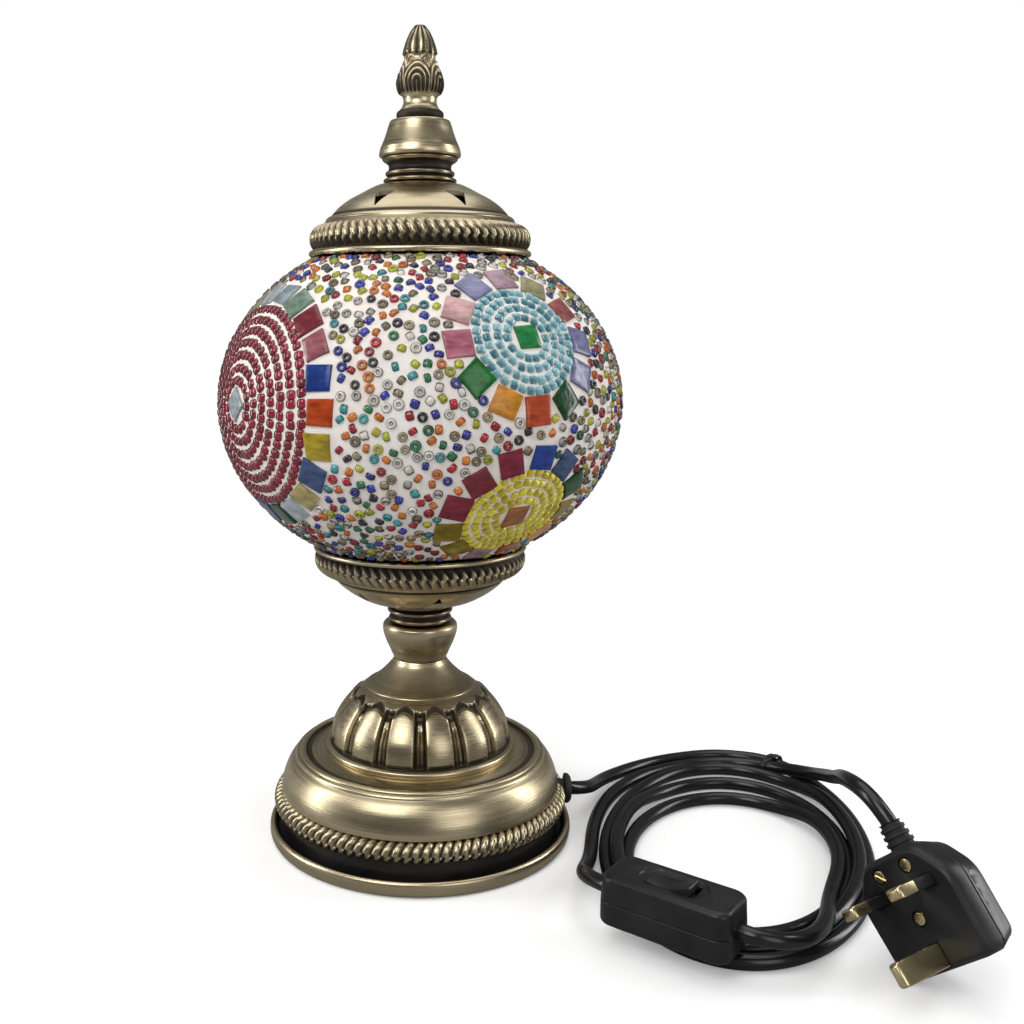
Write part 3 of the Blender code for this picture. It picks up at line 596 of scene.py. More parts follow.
brass = antique_metal("antique_brass", "antique_brass", (0.66, 0.56, 0.37), (0.34, 0.285, 0.18),
                      (0.022, 0.016, 0.011))
dark_brass = antique_metal("dark_brass", "dark_brass", (0.34, 0.28, 0.19), (0.15, 0.12, 0.085),
                           (0.018, 0.013, 0.01), 0.24)
bright_brass = plain_metal("bright_brass", "bright_brass", (0.84, 0.70, 0.40), 0.24)
zinc = plain_metal("zinc_steel", "zinc_steel", (0.62, 0.62, 0.6), 0.32)
iron = plain_metal("cast_iron", "cast_iron", (0.12, 0.12, 0.12), 0.6)
black_paint = moulded_plastic("black_paint", "black_plastic", (0.008, 0.007, 0.007), 0.32, 0.1)
plastic = moulded_plastic("black_plastic", "black_plastic", (0.008, 0.008, 0.009), 0.33)
flex_black = flex_jacket("black_flex", "black_flex")
plug_black = moulded_plastic("plug_face_black", "black_plastic", (0.009, 0.009, 0.01), 0.42)
rubber = moulded_plastic("black_rubber", "black_rubber", (0.012, 0.012, 0.012), 0.6, 0.4)
green_felt = felt("felt", "felt", (0.02, 0.028, 0.024))
grout = plaster("grout", "mosaic")
tiles_glass = tile_glass("tile_glass", "mosaic")
globe_glass = clear_glass("globe_glass", "clear_glass", (0.9, 0.95, 0.93))
bulb_opal = frosted_glass("bulb_glass", "opal_glass")
ceramic = moulded_plastic("white_ceramic", "white_ceramic", (0.78, 0.76, 0.71), 0.4, 0.2)


# ---- foot ----

SHELL_ROPE = (60.5, 16.9)      # ring radius and height of the rope band round the foot


def build_foot():
    rim = outline(
        [(64.7, 5.2), (65.1, 6.5), (66.1, 6.9), (67.1, 6.1), (67.5, 4.6)],
        [(67.5, 3.0), (67.2, 1.6), (66.6, 0.7)], [(64.9, 0.7), (63.8, 2.1)], [(64.7, 5.2)])
    lathe("foot_rim", rim, 192, brass, "lamp", ["foot_tray"])
    well = outline(
        [(64.7, 5.9), (63.9, 4.2), (62.6, 3.6), (58, 3.3)], [(19, 3.3)], [(15.6, 9.6)], [(5.3, 9.6)],
        [(5.3, 8.4)], [(14.6, 8.4), (18, 2.0)], [(63.6, 2.0)], [(64.4, 4.0), (64.9, 5.8)])
    lathe("foot_well", well, 128, black_paint, "lamp")

    shell = outline(
        [(41.8, 39.2), (45.0, 38.9), (48.6, 37.9), (50.4, 37.6)],
        [(51.3, 38.9), (52.6, 39.2), (53.6, 38.6), (53.9, 37.9)],
        [(54.6, 37.9), (55.4, 37.2), (55.7, 36.4)],
        [(57.6, 34.2), (59.3, 31.4), (60.8, 27.6), (61.7, 24.0), (61.9, 22.0)],
        [(60.8, 21.2), (59.8, 20.8)], [(58.8, 27.6), (56.2, 32.4), (51.6, 36.2), (34, 37.3)],
        [(34, 38.9)], [(41.8, 39.2)], steps=8)
    lathe("shell_dome", shell, 256, brass, "lamp", ["base_shell"])
    rope_band("shell_rope", SHELL_ROPE[0], SHELL_ROPE[1], 4.9, 100, -2.4, 1.5, -0.6, brass)
    skirt = outline(
        [(60.4, 21.4), (59.2, 19.0), (59.2, 14.6)], [(61.7, 13.4), (61.9, 8.0), (61.6, 3.6)],
        [(60.0, 3.6)], [(58.2, 14.0), (58.3, 19.6), (59.4, 22.0)], [(60.4, 21.4)])
    lathe("shell_skirt", skirt, 160, black_paint, "lamp")

    bush = outline(
        [(3.6, -3.0), (4.2, -3.0)], [(4.2, 1.6)],
        [(6.3, 1.8), (6.7, 2.6), (6.4, 3.6), (5.4, 4.5), (4.3, 4.8), (3.6, 4.5)], [(3.6, -3.0)], steps=5)
    place = Matrix.Translation((63.4, 0, 17.5)) @ Matrix.Rotation(radians(90), 4, 'Y')
    lathe("cord_grommet_moulding", bush, 40, rubber, "lamp", ["cord_grommet"], None, place)


# ---- fluted bell ----

FLUTES = 14
LOBE_FOOT = 42.0
LOBE_TOP = 67.0


def bump(value, centre, half_width):
    """A smooth hump of height 1 on a number line."""
    away = abs(value - centre) / half_width
    return 0.0 if away >= 1 else 0.5 + 0.5 * cos(pi * away)


def flute_relief(angle, radius, height):
    """Lobes with a dark channel between them, and a slender raised dart in each channel."""
    if not LOBE_FOOT <= height <= LOBE_TOP or radius < 25:
        return 0.0, 0.0
    turn = FLUTES * (angle + pi / 2) / tau
    across = turn - floor(turn + 0.5)
    away = abs(across)
    fade = ease(height, LOBE_FOOT, LOBE_FOOT + 1.4)
    scallop = LOBE_TOP - 1.3 - 2.6 * bump(across, 0, 0.5)
    under_lip = 1 - ease(abs(height - scallop + 1.0), 0.5, 2.2)
    inside_lobe = 1 - ease(height, scallop - 0.5, scallop + 0.5)
    lobe = 0.9 * sqrt(max(0.0, 1 - ((0.5 - away) / 0.42) ** 2)) if away > 0.08 else 0.0
    channel = 1 - ease(away, 0.13, 0.18)
    dart_top = ease(height, 59.5, 62.5)
    narrowing = 0.075 * sqrt(max(0.05, 1 - dart_top))
    dart = (1 - ease(away, narrowing, narrowing + 0.03)) * (1 - dart_top)
    slit = bump(away, 0, 0.05) * (1 - ease(height, 55.0, 59.0))
    depth = 2.6 * channel - 1.9 * dart + 1.4 * slit * dart
    push = (lobe - depth) * fade * inside_lobe - 0.9 * under_lip * inside_lobe
    hollow = 1.5 * channel * (1 - dart) + 1.2 * slit * dart - 0.8 * bump(away, 0.19, 0.035)
    hollow -= 0.5 * bump(away, narrowing + 0.005, 0.02) * (1 - dart_top)
    hollow = hollow * fade * inside_lobe + 1.3 * under_lip * inside_lobe
    return push, hollow


def build_bell():
    bell = outline(
        [(41.2, 38.9), (41.7, 39.8), (41.4, 41.2), (40.2, 41.9)],
        [(39.2, 42.4), (38.9, 44.6), (38.3, 48.0), (37.3, 51.6), (35.6, 55.0), (33.2, 58.6), (30.4, 62.0),
         (27.2, 65.0), (25.2, 66.6), (24.4, 67.3)],
        [(23.8, 67.9), (21.4, 69.3), (18.6, 71.4), (16.0, 73.8), (13.6, 76.4), (12.0, 78.6),
         (11.4, 79.5)], [(5.4, 79.5)], [(5.4, 78.0)],
        [(9.6, 76.6), (29.0, 57.0), (34.2, 46.0), (34.6, 38.9)], [(41.2, 38.9)], steps=9)
    lathe("fluted_bell", bell, FLUTES * 34, brass, "lamp", ["base_bell"], flute_relief)


def build_column():
    cup = outline(
        [(5.4, 80.0), (11.6, 80.0)],
        [(12.4, 81.6), (13.2, 83.6), (14.6, 86.6), (15.7, 89.6), (16.3, 92.0), (16.4, 93.4)],
        [(16.2, 94.8), (15.4, 95.8)], [(5.4, 95.8)], [(5.4, 80.0)], steps=8)
    lathe("lower_cup_turning", cup, 128, brass, "lamp", ["lower_cup"])
    collar = outline(
        [(5.4, 96.3), (12.6, 96.3)], [(13.6, 97.0), (13.7, 98.0), (12.9, 98.9)],
        [(12.5, 99.6), (13.4, 100.2), (14.2, 101.0), (14.1, 101.9), (13.1, 102.4)],
        [(12.7, 102.9), (14.0, 103.4), (14.9, 104.2), (14.8, 105.1), (14.0, 105.5)], [(5.4, 105.5)],
        [(5.4, 96.3)], steps=6)
    lathe("lower_collar_rings", collar, 112, dark_brass, "lamp", ["lower_neck_collar"])


# ---- dish and cap pressings ----

VENTS = 6
VENT_OUTLINE = ((26.2, 4.7), (26.2, -4.7), (35.6, 0.0))


def vent_cutters(first_turn, low, high):
    """Rounded triangles that point outwards, as cutters."""
    cutters = []
    for i in range(VENTS):
        cutter = prism_z(rounded_polygon(VENT_OUTLINE, 0.9), low, high)
        turn = radians(first_turn + 360 / VENTS * i)
        bmesh.ops.rotate(cutter, verts=cutter.verts, cent=(0, 0, 0),
                         matrix=Matrix.Rotation(turn, 3, 'Z'))
        cutters.append(cutter)
    return cutters


def pierce(item, cutters):
    """Cut the vents through a finished lathe piece."""
    item.data = worked_mesh(item.name, item.data, cutters, 0.0, Matrix.Scale(MM, 4))
    item.data.set_sharp_from_angle(angle=radians(CREASE))


def build_dish():
    bowl = outline(
        [(5.4, 105.9), (15.8, 105.9)],
        [(19.6, 106.1), (24.6, 107.3), (29.6, 110.0), (33.6, 112.8), (36.4, 115.4), (37.8, 117.6)],
        [(38.9, 118.0), (39.7, 118.9)], [(41.6, 121.0), (43.0, 123.4)],
        [(42.4, 124.0), (40.2, 121.4), (37.0, 118.9), (33.0, 114.8), (24.0, 108.6), (16.6, 107.1),
         (5.4, 107.0)], [(5.4, 105.9)], steps=7)
    dish = lathe("dish_bowl", bowl, 160, brass, "lamp", ["lower_dish"])
    pierce(dish, vent_cutters(43.0, 104, 117))
    rope_band("dish_rope", 39.9, 124.8, 5.9, 68, 3.4, 1.8, 1.9, brass)
    rim = outline(
        [(44.3, 128.7), (45.3, 129.0), (46.0, 129.6), (46.0, 130.5), (45.4, 131.1)], [(44.8, 130.9)],
        [(43.8, 129.0), (42.6, 127.0)], [(44.3, 128.7)], steps=6)
    lathe("dish_rim", rim, 160, brass, "lamp")


def build_cap():
    dome = outline(
        [(2.8, 281.1), (15.0, 281.1)],
        [(17.6, 280.7), (20.6, 279.4), (24.8, 277.2), (29.6, 274.6), (33.2, 272.0), (35.6, 269.6),
         (36.9, 268.0)], [(38.0, 267.6), (38.8, 266.9), (39.2, 266.0)], [(41.2, 263.4), (43.0, 260.8)],
        [(42.2, 260.4), (37.6, 264.8), (32.2, 270.6), (24.0, 276.0), (15.4, 279.9), (2.8, 279.9)],
        [(2.8, 281.1)], steps=7)
    cap = lathe("cap_dome", dome, 160, brass, "cap", ["top_cap"])
    pierce(cap, vent_cutters(0.0, 267.5, 282))
    rope_band("cap_rope", 39.9, 258.8, 6.0, 68, 3.4, 1.8, -1.9, brass, "cap")
    rim = outline(
        [(44.3, 254.6), (45.4, 254.2), (46.1, 253.5), (46.1, 252.5), (45.4, 251.9)], [(44.6, 252.1)],
        [(43.8, 254.0), (42.6, 256.2)], [(44.3, 254.6)], steps=6)
    lathe("cap_rim", rim, 160, brass, "cap")

    collar = outline(
        [(2.8, 281.6), (14.0, 281.6)], [(15.0, 282.2), (14.9, 283.1), (13.9, 283.6)],
        [(13.3, 284.2), (14.1, 284.8), (14.2, 285.8), (13.4, 286.4)],
        [(12.9, 287.2), (12.9, 288.4), (13.5, 289.4), (14.8, 290.2), (15.5, 290.9), (15.5, 291.3)],
        [(2.8, 291.3)], [(2.8, 281.6)], steps=6)
    lathe("upper_collar_rings", collar, 112, dark_brass, "cap", ["upper_neck_collar"])

    cone = outline(
        [(2.8, 291.8), (15.9, 291.8)], [(16.7, 292.3), (16.8, 293.4), (16.3, 295.6)],
        [(15.2, 298.0), (14.1, 300.8), (13.2, 303.6), (12.6, 305.4)], [(12.2, 306.1), (11.4, 306.4)],
        [(2.8, 306.4)], [(2.8, 291.8)], steps=7)
    lathe("finial_cone_turning", cone, 128, brass, "cap", ["finial_cone"])


# ---- finial ----

PETALS = 5
PETAL_TURN = -9.0              # azimuth of one petal's middle, from the front
PETAL_FOOT = 316.2
LEAF_HEIGHT = 329.6
BUD_FOOT = 331.2
BUD_TOP = 343.5
RIBS = 14                      # on the bud
ARCHES = 3.2                   # on a petal, one inside the other


def finial_relief(angle, radius, height):
    """Ribbed bud above a ring of curled leaf tips, over petals marked with nested arches."""
    if height < PETAL_FOOT:
        return 0.0, 0.0
    azimuth = degrees(angle) + 90
    half_sector = 180 / PETALS
    across = ((azimuth - PETAL_TURN + half_sector) % (2 * half_sector) - half_sector) / half_sector
    tip_across = ((azimuth - PETAL_TURN) % (2 * half_sector) - half_sector) / half_sector
    bud = ease(height, BUD_FOOT, BUD_FOOT + 1) * (1 - ease(height, BUD_TOP - 0.9, BUD_TOP))
    rib = abs(cos(RIBS / 2 * radians(azimuth)))
    push = -0.55 * (1 - rib) * bud
    hollow = (1.5 - 2.6 * rib) * bud

    leaf_reach = max(0.0, 1 - (tip_across / 0.62) ** 2)
    leaf_height = LEAF_HEIGHT + 1.6 * leaf_reach
    leaf = bump(height, leaf_height, 1.5) * sqrt(leaf_reach)
    push += 1.15 * leaf
    hollow -= 1.1 * leaf
    under = bump(height, leaf_height - 1.7, 1.1) * leaf_reach
    push -= 0.35 * under
    hollow += 1.3 * under

    petals = ease(height, PETAL_FOOT, PETAL_FOOT + 1.2) * (1 - ease(height, 328.4, 330.4))
    level = (height - PETAL_FOOT - 0.4) / 13.0
    centre = 0.30
    reach = hypot(across, (level - centre) / 0.62) if level > centre else abs(across)
    ridge = cos(tau * reach * ARCHES)
    push += 0.36 * (ridge - 0.6) * petals
    hollow += (0.15 - 1.05 * ridge) * petals
    return push, hollow


def build_finial():
    bud = outline(
        [(0.02, 343.5), (1.1, 343.2), (2.4, 342.0), (3.8, 340.0), (5.2, 337.0), (6.2, 334.0),
         (6.6, 332.0), (6.4, 330.6)],
        [(6.5, 329.0), (7.2, 327.0), (8.4, 324.4), (9.2, 321.6), (9.1, 319.2), (8.3, 317.2),
         (7.2, 315.8)], [(6.8, 314.6), (6.9, 313.0), (7.6, 311.4), (8.6, 310.2)],
        [(9.4, 309.6), (9.7, 308.6), (9.5, 307.4), (8.9, 306.8)], [(0.02, 306.8)], steps=12)
    lathe("finial_casting", bud, 280, brass, "cap", ["finial"], finial_relief, closed=False, sharp=60)


# ---- globe ----

GLOBE_CENTRE = Vector((0, 0, 191.5))
GROUT_HALF = (83.9, 69.4)              # half-width and half-height of the grout's surface
GLASS_HALF = (83.4, 68.9)              # the same of the glass under it
GLOBE_EDGE = 59.0                      # latitude where the mosaic stops under cap and dish
TILE_SIZE = 10.4
CENTRE_TILE = 9.6
TILE_PROFILE = ((1.0, -1.4), (1.0, 0.62), (0.985, 0.78), (0.955, 0.86), (0.6, 0.9), (0.25, 0.9))
LOOSE_SPACING = 3.75                   # least distance between loose beads
LOOSE_DROPS = 80000
BEAD_TOP = 1.25                        # height of a strung bead's crown over the grout
SEED = 5


def squashed(x, y, z):
    """The grout's point for a point of the unit sphere."""
    wide, tall = GROUT_HALF
    return Vector((x * wide, y * wide, z * tall))


def surface_normal(point):
    wide, tall = GROUT_HALF
    return Vector((point.x / wide ** 2, point.y / wide ** 2, point.z / tall ** 2)).normalized()


def globe_point(azimuth, latitude):
    """A point of the grout's surface; azimuth is in degrees from the front towards +X."""
    turn = radians(azimuth)
    rise = radians(latitude)
    return squashed(sin(turn) * cos(rise), -cos(turn) * cos(rise), sin(rise))


def on_surface(point):
    """Pull a point near the grout's surface onto it."""
    wide, tall = GROUT_HALF
    scale = sqrt((point.x ** 2 + point.y ** 2) / wide ** 2 + point.z ** 2 / tall ** 2)
    return point / scale


def walk(start, heading, distance):
    """Follow the surface from start in a heading; returns the place reached and the heading there."""
    steps = max(1, round(distance / 1.5))
    for _ in range(steps):
        normal = surface_normal(start)
        heading = (heading - normal * heading.dot(normal)).normalized()
        start = on_surface(start + heading * (distance / steps))
    normal = surface_normal(start)
    return start, (heading - normal * heading.dot(normal)).normalized()


def compass(point):
    """East and north along the surface at a point."""
    normal = surface_normal(point)
    east = Vector((0, 0, 1)).cross(normal).normalized()
    return east, normal.cross(east)


class Medallion:
    """Rings of beads round a centre tile, with a wheel of square tiles round them."""

    def __init__(self, azimuth, latitude, bead, rows, tile_distance, tile_turn, tile_colours, centre_colour):
        self.centre = globe_point(azimuth, latitude)
        self.bead = bead
        self.rows = rows
        self.tile_distance = tile_distance
        self.tile_turn = tile_turn
        self.tile_colours = tile_colours
        self.centre_colour = centre_colour
        self.tiles = self.wheel()

    def place(self, turn, distance):
        east, north = compass(self.centre)
        angle = radians(turn)
        return walk(self.centre, east * cos(angle) + north * sin(angle), distance)

    def wheel(self):
        """Place and outward heading of each tile of the wheel."""
        count = len(self.tile_colours)
        way = 1 if self.bead == RED_BEAD else -1
        return [self.place(self.tile_turn + way * 360 * k / count, self.tile_distance)
                for k in range(count)]

    def covers(self, point, margin=2.0):
        """Whether a loose bead here would sit on the medallion's beads or tiles."""
        away = (point - self.centre).length
        if away > self.tile_distance + 11:
            return False
        spot, outward = min(self.tiles, key=lambda tile: (tile[0] - point).length_squared)
        if away < (spot - self.centre).length:
            return True
        offset = point - spot
        sideways = surface_normal(spot).cross(outward)
        reach = TILE_SIZE / 2 + margin
        return abs(offset.dot(outward)) < reach and abs(offset.dot(sideways)) < reach


SLATE_GREY = (0.26, 0.32, 0.36)
GREY_GREEN = (0.17, 0.25, 0.19)
MAROON = (0.20, 0.025, 0.035)
MAUVE_RED = (0.27, 0.085, 0.10)
COBALT = (0.012, 0.045, 0.26)
FLAME = (0.50, 0.06, 0.01)
AMBER_OLIVE = (0.42, 0.30, 0.02)
SLATE_BLUE = (0.05, 0.09, 0.21)
OLIVE_GOLD = (0.38, 0.31, 0.12)
PALE_GREY = (0.42, 0.47, 0.50)
VIOLET_SLATE = (0.20, 0.20, 0.36)
MAUVE = (0.36, 0.22, 0.26)
OLIVE_TAN = (0.33, 0.30, 0.16)
BRICK = (0.33, 0.10, 0.09)
DEEP_GREEN = (0.01, 0.07, 0.02)
RUST = (0.40, 0.06, 0.02)
ORANGE = (0.62, 0.24, 0.02)
LEAF_GREEN = (0.01, 0.14, 0.02)
ROSE = (0.46, 0.14, 0.19)
PINK = (0.60, 0.33, 0.33)
WINE = (0.24, 0.02, 0.045)
OLIVE = (0.26, 0.19, 0.01)

RED_WHEEL = (FLAME, COBALT, MAUVE_RED, MAROON, GREY_GREEN, SLATE_GREY, PALE_GREY, OLIVE_TAN, COBALT,
             BRICK, ORANGE, LEAF_GREEN, VIOLET_SLATE, MAUVE, AMBER_OLIVE, RUST, SLATE_BLUE, DEEP_GREEN,
             PALE_GREY, OLIVE_GOLD, SLATE_BLUE, AMBER_OLIVE)
BLUE_WHEEL = (PINK, VIOLET_SLATE, MAUVE, OLIVE_TAN, BRICK, VIOLET_SLATE, VIOLET_SLATE, DEEP_GREEN, RUST,
              ORANGE, LEAF_GREEN, ROSE)
YELLOW_WHEEL = (WINE, MAROON, WINE, COBALT, SLATE_BLUE, DEEP_GREEN, OLIVE, ORANGE, RUST, MAUVE, OLIVE,
                OLIVE)
RED_ROWS = tuple(9.4 + 5.1 * k for k in range(7))
SMALL_ROWS = (8.4, 12.4, 16.4, 20.3)
RED_BEAD = ("red_ring", 2.46, 1.82, 3.75)       # colour, radius, half length, pitch along the row
BLUE_BEAD = ("turquoise_ring", 1.85, 1.6, 3.55)
YELLOW_BEAD = ("yellow_ring", 1.85, 1.6, 3.55)


def medallions():
    """Red, blue and yellow on the side that shows, and the same three again half a turn round."""
    made = []
    for turn in (0, 180):
        made.append(Medallion(-58 + turn, 2, RED_BEAD, RED_ROWS, 47.6, 0, RED_WHEEL, PALE_GREY))
        made.append(Medallion(30.6 + turn, 24.3, BLUE_BEAD, SMALL_ROWS, 27.4, 150, BLUE_WHEEL,
                              (0.015, 0.20, 0.05)))
        made.append(Medallion(31.2 + turn, -33.6, YELLOW_BEAD, SMALL_ROWS, 26.6, 173, YELLOW_WHEEL,
                              (0.42, 0.16, 0.05)))
    return made


# colour name: share of the loose beads, lit colour, dark colour, transmission
LOOSE_COLOURS = {
    "silver": (18, (0.86, 0.84, 0.77), (0.07, 0.058, 0.042), 0.1),
    "smoke": (16, (0.42, 0.33, 0.19), (0.03, 0.02, 0.011), 0.1),
    "ruby": (14, (0.58, 0.018, 0.035), (0.08, 0.004, 0.008), 0.1),
    "navy": (15, (0.045, 0.06, 0.48), (0.005, 0.006, 0.07), 0.1),
    "lime": (10, (0.66, 0.66, 0.05), (0.24, 0.24, 0.01), 0.25),
    "amber": (10, (0.82, 0.26, 0.03), (0.34, 0.07, 0.005), 0.2),
    "teal": (6, (0.07, 0.42, 0.44), (0.01, 0.10, 0.12), 0.2),
    "forest": (5, (0.03, 0.24, 0.09), (0.004, 0.04, 0.015), 0.15),
    "black": (7, (0.03, 0.03, 0.04), (0.004, 0.004, 0.006), 0.0),
}
RING_COLOURS = {
    "red_ring": ((0.34, 0.017, 0.038), (0.10, 0.004, 0.009), 0.0),
    "turquoise_ring": ((0.42, 0.72, 0.78), (0.045, 0.20, 0.26), 0.25),
    "yellow_ring": ((0.92, 0.80, 0.08), (0.46, 0.34, 0.01), 0.1),
}


def bead_outline(radius, half_length, hole):
    """Half section of a seed bead, as (along, out): round shoulders outside, a straight hole inside."""
    corner = min(half_length, radius - hole) * 0.62
    points = []
    for side, angles in ((-1, (180, 150, 120, 90)), (1, (90, 60, 30, 0))):
        for angle in angles:
            points.append((side * (half_length - corner) + corner * cos(radians(angle)),
                           radius - corner + corner * sin(radians(angle))))
    return points + [(half_length * 0.8, hole), (-half_length * 0.8, hole)]


class BeadBatch:
    """Collects the beads of one colour as one mesh."""

    SIDES = 10

    def __init__(self):
        self.verts = []
        self.faces = []
        self.shade = []

    def add(self, centre, axis, side, radius, half_length, hole, shade):
        normal = axis.cross(side)
        rim = bead_outline(radius, half_length, hole)
        start = len(self.verts)
        for along, reach in rim:
            for k in range(self.SIDES):
                angle = tau * k / self.SIDES
                out = side * cos(angle) + normal * sin(angle)
                self.verts.append(GLOBE_CENTRE + centre + axis * along + out * reach)
        for face in grid_faces(len(rim), self.SIDES, True, True):
            self.faces.append(tuple(start + index for index in face))
        self.shade += [shade] * (len(rim) * self.SIDES)

    def finish(self, name, material):
        mesh = bpy.data.meshes.new(name)
        mesh.from_pydata([tuple(co * MM) for co in self.verts], [], self.faces)
        mesh.attributes.new("shade", 'FLOAT', 'POINT').data.foreach_set("value", self.shade)
        return finish_piece(name, mesh, material, "lamp", (), 75)


def loose_places(rng, groups):
    """Evenly scattered places on the globe that keep clear of the medallions."""
    limit = sin(radians(GLOBE_EDGE - 1.0))
    cell = 4.2                             # wider than the spacing, so that the next cells are enough
    steps = [(dx, dy, dz) for dx in (-1, 0, 1) for dy in (-1, 0, 1) for dz in (-1, 0, 1)]
    grid = {}
    places = []
    for _ in range(LOOSE_DROPS):
        rise = rng.uniform(-limit, limit)
        level = sqrt(1 - rise * rise)
        turn = rng.uniform(0, tau)
        point = squashed(level * cos(turn), level * sin(turn), rise)
        home = tuple(floor(value / cell) for value in point)
        nearby = [grid.get((home[0] + dx, home[1] + dy, home[2] + dz), ()) for dx, dy, dz in steps]
        if any((point - other).length < LOOSE_SPACING for others in nearby for other in others):
            continue
        if any(group.covers(point) for group in groups):
            continue
        grid.setdefault(home, []).append(point)
        places.append(point)
    return places


def build_globe():
    rng = random.Random(SEED)
    groups = medallions()
    tiles = TileBatch(rng)
    batches = {name: BeadBatch() for name in list(LOOSE_COLOURS) + list(RING_COLOURS)}
    for group in groups:
        tiles.add_wheel(group)
        add_rows(batches[group.bead[0]], group, rng)
    names = list(LOOSE_COLOURS)
    weights = [LOOSE_COLOURS[name][0] for name in names]
    for point in loose_places(rng, groups):
        name = rng.choices(names, weights)[0]
        add_loose_bead(batches[name], point, name, rng)
    for name, (_, lit, dark, clear) in LOOSE_COLOURS.items():
        batches[name].finish("beads_" + name, coloured_glass("glass_" + name, "mosaic", lit, dark, clear))
    for name, (lit, dark, clear) in RING_COLOURS.items():
        look = coloured_glass("glass_" + name, "mosaic", lit, dark, clear, clear > 0)
        batches[name].finish("beads_" + name, look)
    tiles.finish()
    build_grout()


def add_rows(batch, group, rng):
    """Strung beads round a medallion's centre, their holes along the string."""
    _, radius, half_length, pitch = group.bead
    for distance in group.rows:
        count = max(6, round(tau * distance * 0.965 / pitch))
        offset = rng.uniform(0, 360)
        for k in range(count):
            turn = offset + 360 * (k + rng.uniform(-0.1, 0.1)) / count
            point, outward = group.place(turn, distance + rng.uniform(-0.25, 0.25))
            normal = surface_normal(point)
            along = normal.cross(outward).normalized()
            tilt = Matrix.Rotation(radians(rng.gauss(0, 7)), 3, normal)
            along = tilt @ along
            size = rng.uniform(0.92, 1.05)
            centre = point + normal * (BEAD_TOP - radius * size + rng.uniform(-0.15, 0.15))
            batch.add(centre, along, normal, radius * size, half_length * rng.uniform(0.9, 1.06), 0.6,
                      rng.random())


def add_loose_bead(batch, point, colour, rng):
    """A bead dropped at random: lying as an open ring, or on its side."""
    normal = surface_normal(point)
    east, north = compass(point)
    turn = rng.uniform(0, tau)
    flat = east * cos(turn) + north * sin(turn)
    radius = rng.uniform(1.78, 2.15)
    half_length = rng.uniform(1.2, 1.65)
    ring_share = 0.72 if colour in ("silver", "smoke", "black") else 0.33
    if rng.random() < ring_share:
        axis = (normal + flat * rng.uniform(0, 0.22)).normalized()
        side = axis.cross(flat).normalized()
        centre = point + normal * (1.15 - half_length)
        batch.add(centre, axis, side, radius, half_length, 0.78, rng.random())
    else:
        axis = (flat + normal * rng.uniform(-0.2, 0.2)).normalized()
        side = axis.cross(normal).normalized()
        centre = point + normal * (1.3 - radius)
        batch.add(centre, axis, side, radius, half_length, 0.6, rng.random())


class TileBatch:
    """Square glass tiles, each a low bevelled block bent a little to the globe."""

    EDGE_STEPS = 6

    def __init__(self, rng):
        self.rng = rng
        self.verts = []
        self.faces = []
        self.colours = []

    def add(self, point, outward, size, colour, spin):
        normal = surface_normal(point)
        turn = Matrix.Rotation(radians(spin), 3, normal)
        first = turn @ outward
        second = normal.cross(first).normalized()
        corners = []
        for sx, sy in ((1, 1), (-1, 1), (-1, -1), (1, -1)):
            corners.append((sx * size / 2 + self.rng.uniform(-0.45, 0.45),
                            sy * size / 2 + self.rng.uniform(-0.45, 0.45)))
        ring = []
        for i, corner in enumerate(corners):
            following = corners[(i + 1) % 4]
            for k in range(self.EDGE_STEPS):
                t = k / self.EDGE_STEPS
                ring.append((corner[0] + (following[0] - corner[0]) * t,
                             corner[1] + (following[1] - corner[1]) * t))
        lean_first = self.rng.uniform(-0.035, 0.035)
        lean_second = self.rng.uniform(-0.035, 0.035)
        start = len(self.verts)
        for scale, height in TILE_PROFILE:
            for x, y in ring:
                x, y = x * scale, y * scale
                drop = (x * x + y * y) / 320
                raised = height - drop + lean_first * x + lean_second * y
                self.verts.append(GLOBE_CENTRE + point + first * x + second * y + normal * raised)
        count = len(ring)
        rows = len(TILE_PROFILE)
        for face in grid_faces(rows, count, False, True):
            self.faces.append(tuple(start + index for index in face))
        self.faces.append(tuple(start + (rows - 1) * count + k for k in range(count)))
        shade = self.rng.uniform(0.85, 1.15)
        self.colours += [tuple(channel * shade for channel in colour) + (1.0,)] * (rows * count)

    def add_wheel(self, group):
        for (point, outward), colour in zip(group.tiles, group.tile_colours):
            self.add(point, outward, TILE_SIZE * self.rng.uniform(0.95, 1.03), colour, self.rng.gauss(0, 5))
        _, north = compass(group.centre)
        spin = 42 if group.bead == RED_BEAD else 4
        self.add(group.centre, north, CENTRE_TILE, group.centre_colour, spin)

    def finish(self):
        mesh = bpy.data.meshes.new("glass_tiles")
        mesh.from_pydata([tuple(co * MM) for co in self.verts], [], self.faces)
        attribute = mesh.attributes.new("tile_colour", 'FLOAT_COLOR', 'POINT')
        attribute.data.foreach_set("color", [channel for colour in self.colours for channel in colour])
        bm = bmesh.new()
        bm.from_mesh(mesh)
        bmesh.ops.recalc_face_normals(bm, faces=bm.faces)
        bm.to_mesh(mesh)
        bm.free()
        finish_piece("glass_tiles", mesh, tiles_glass, "lamp", (), 40)


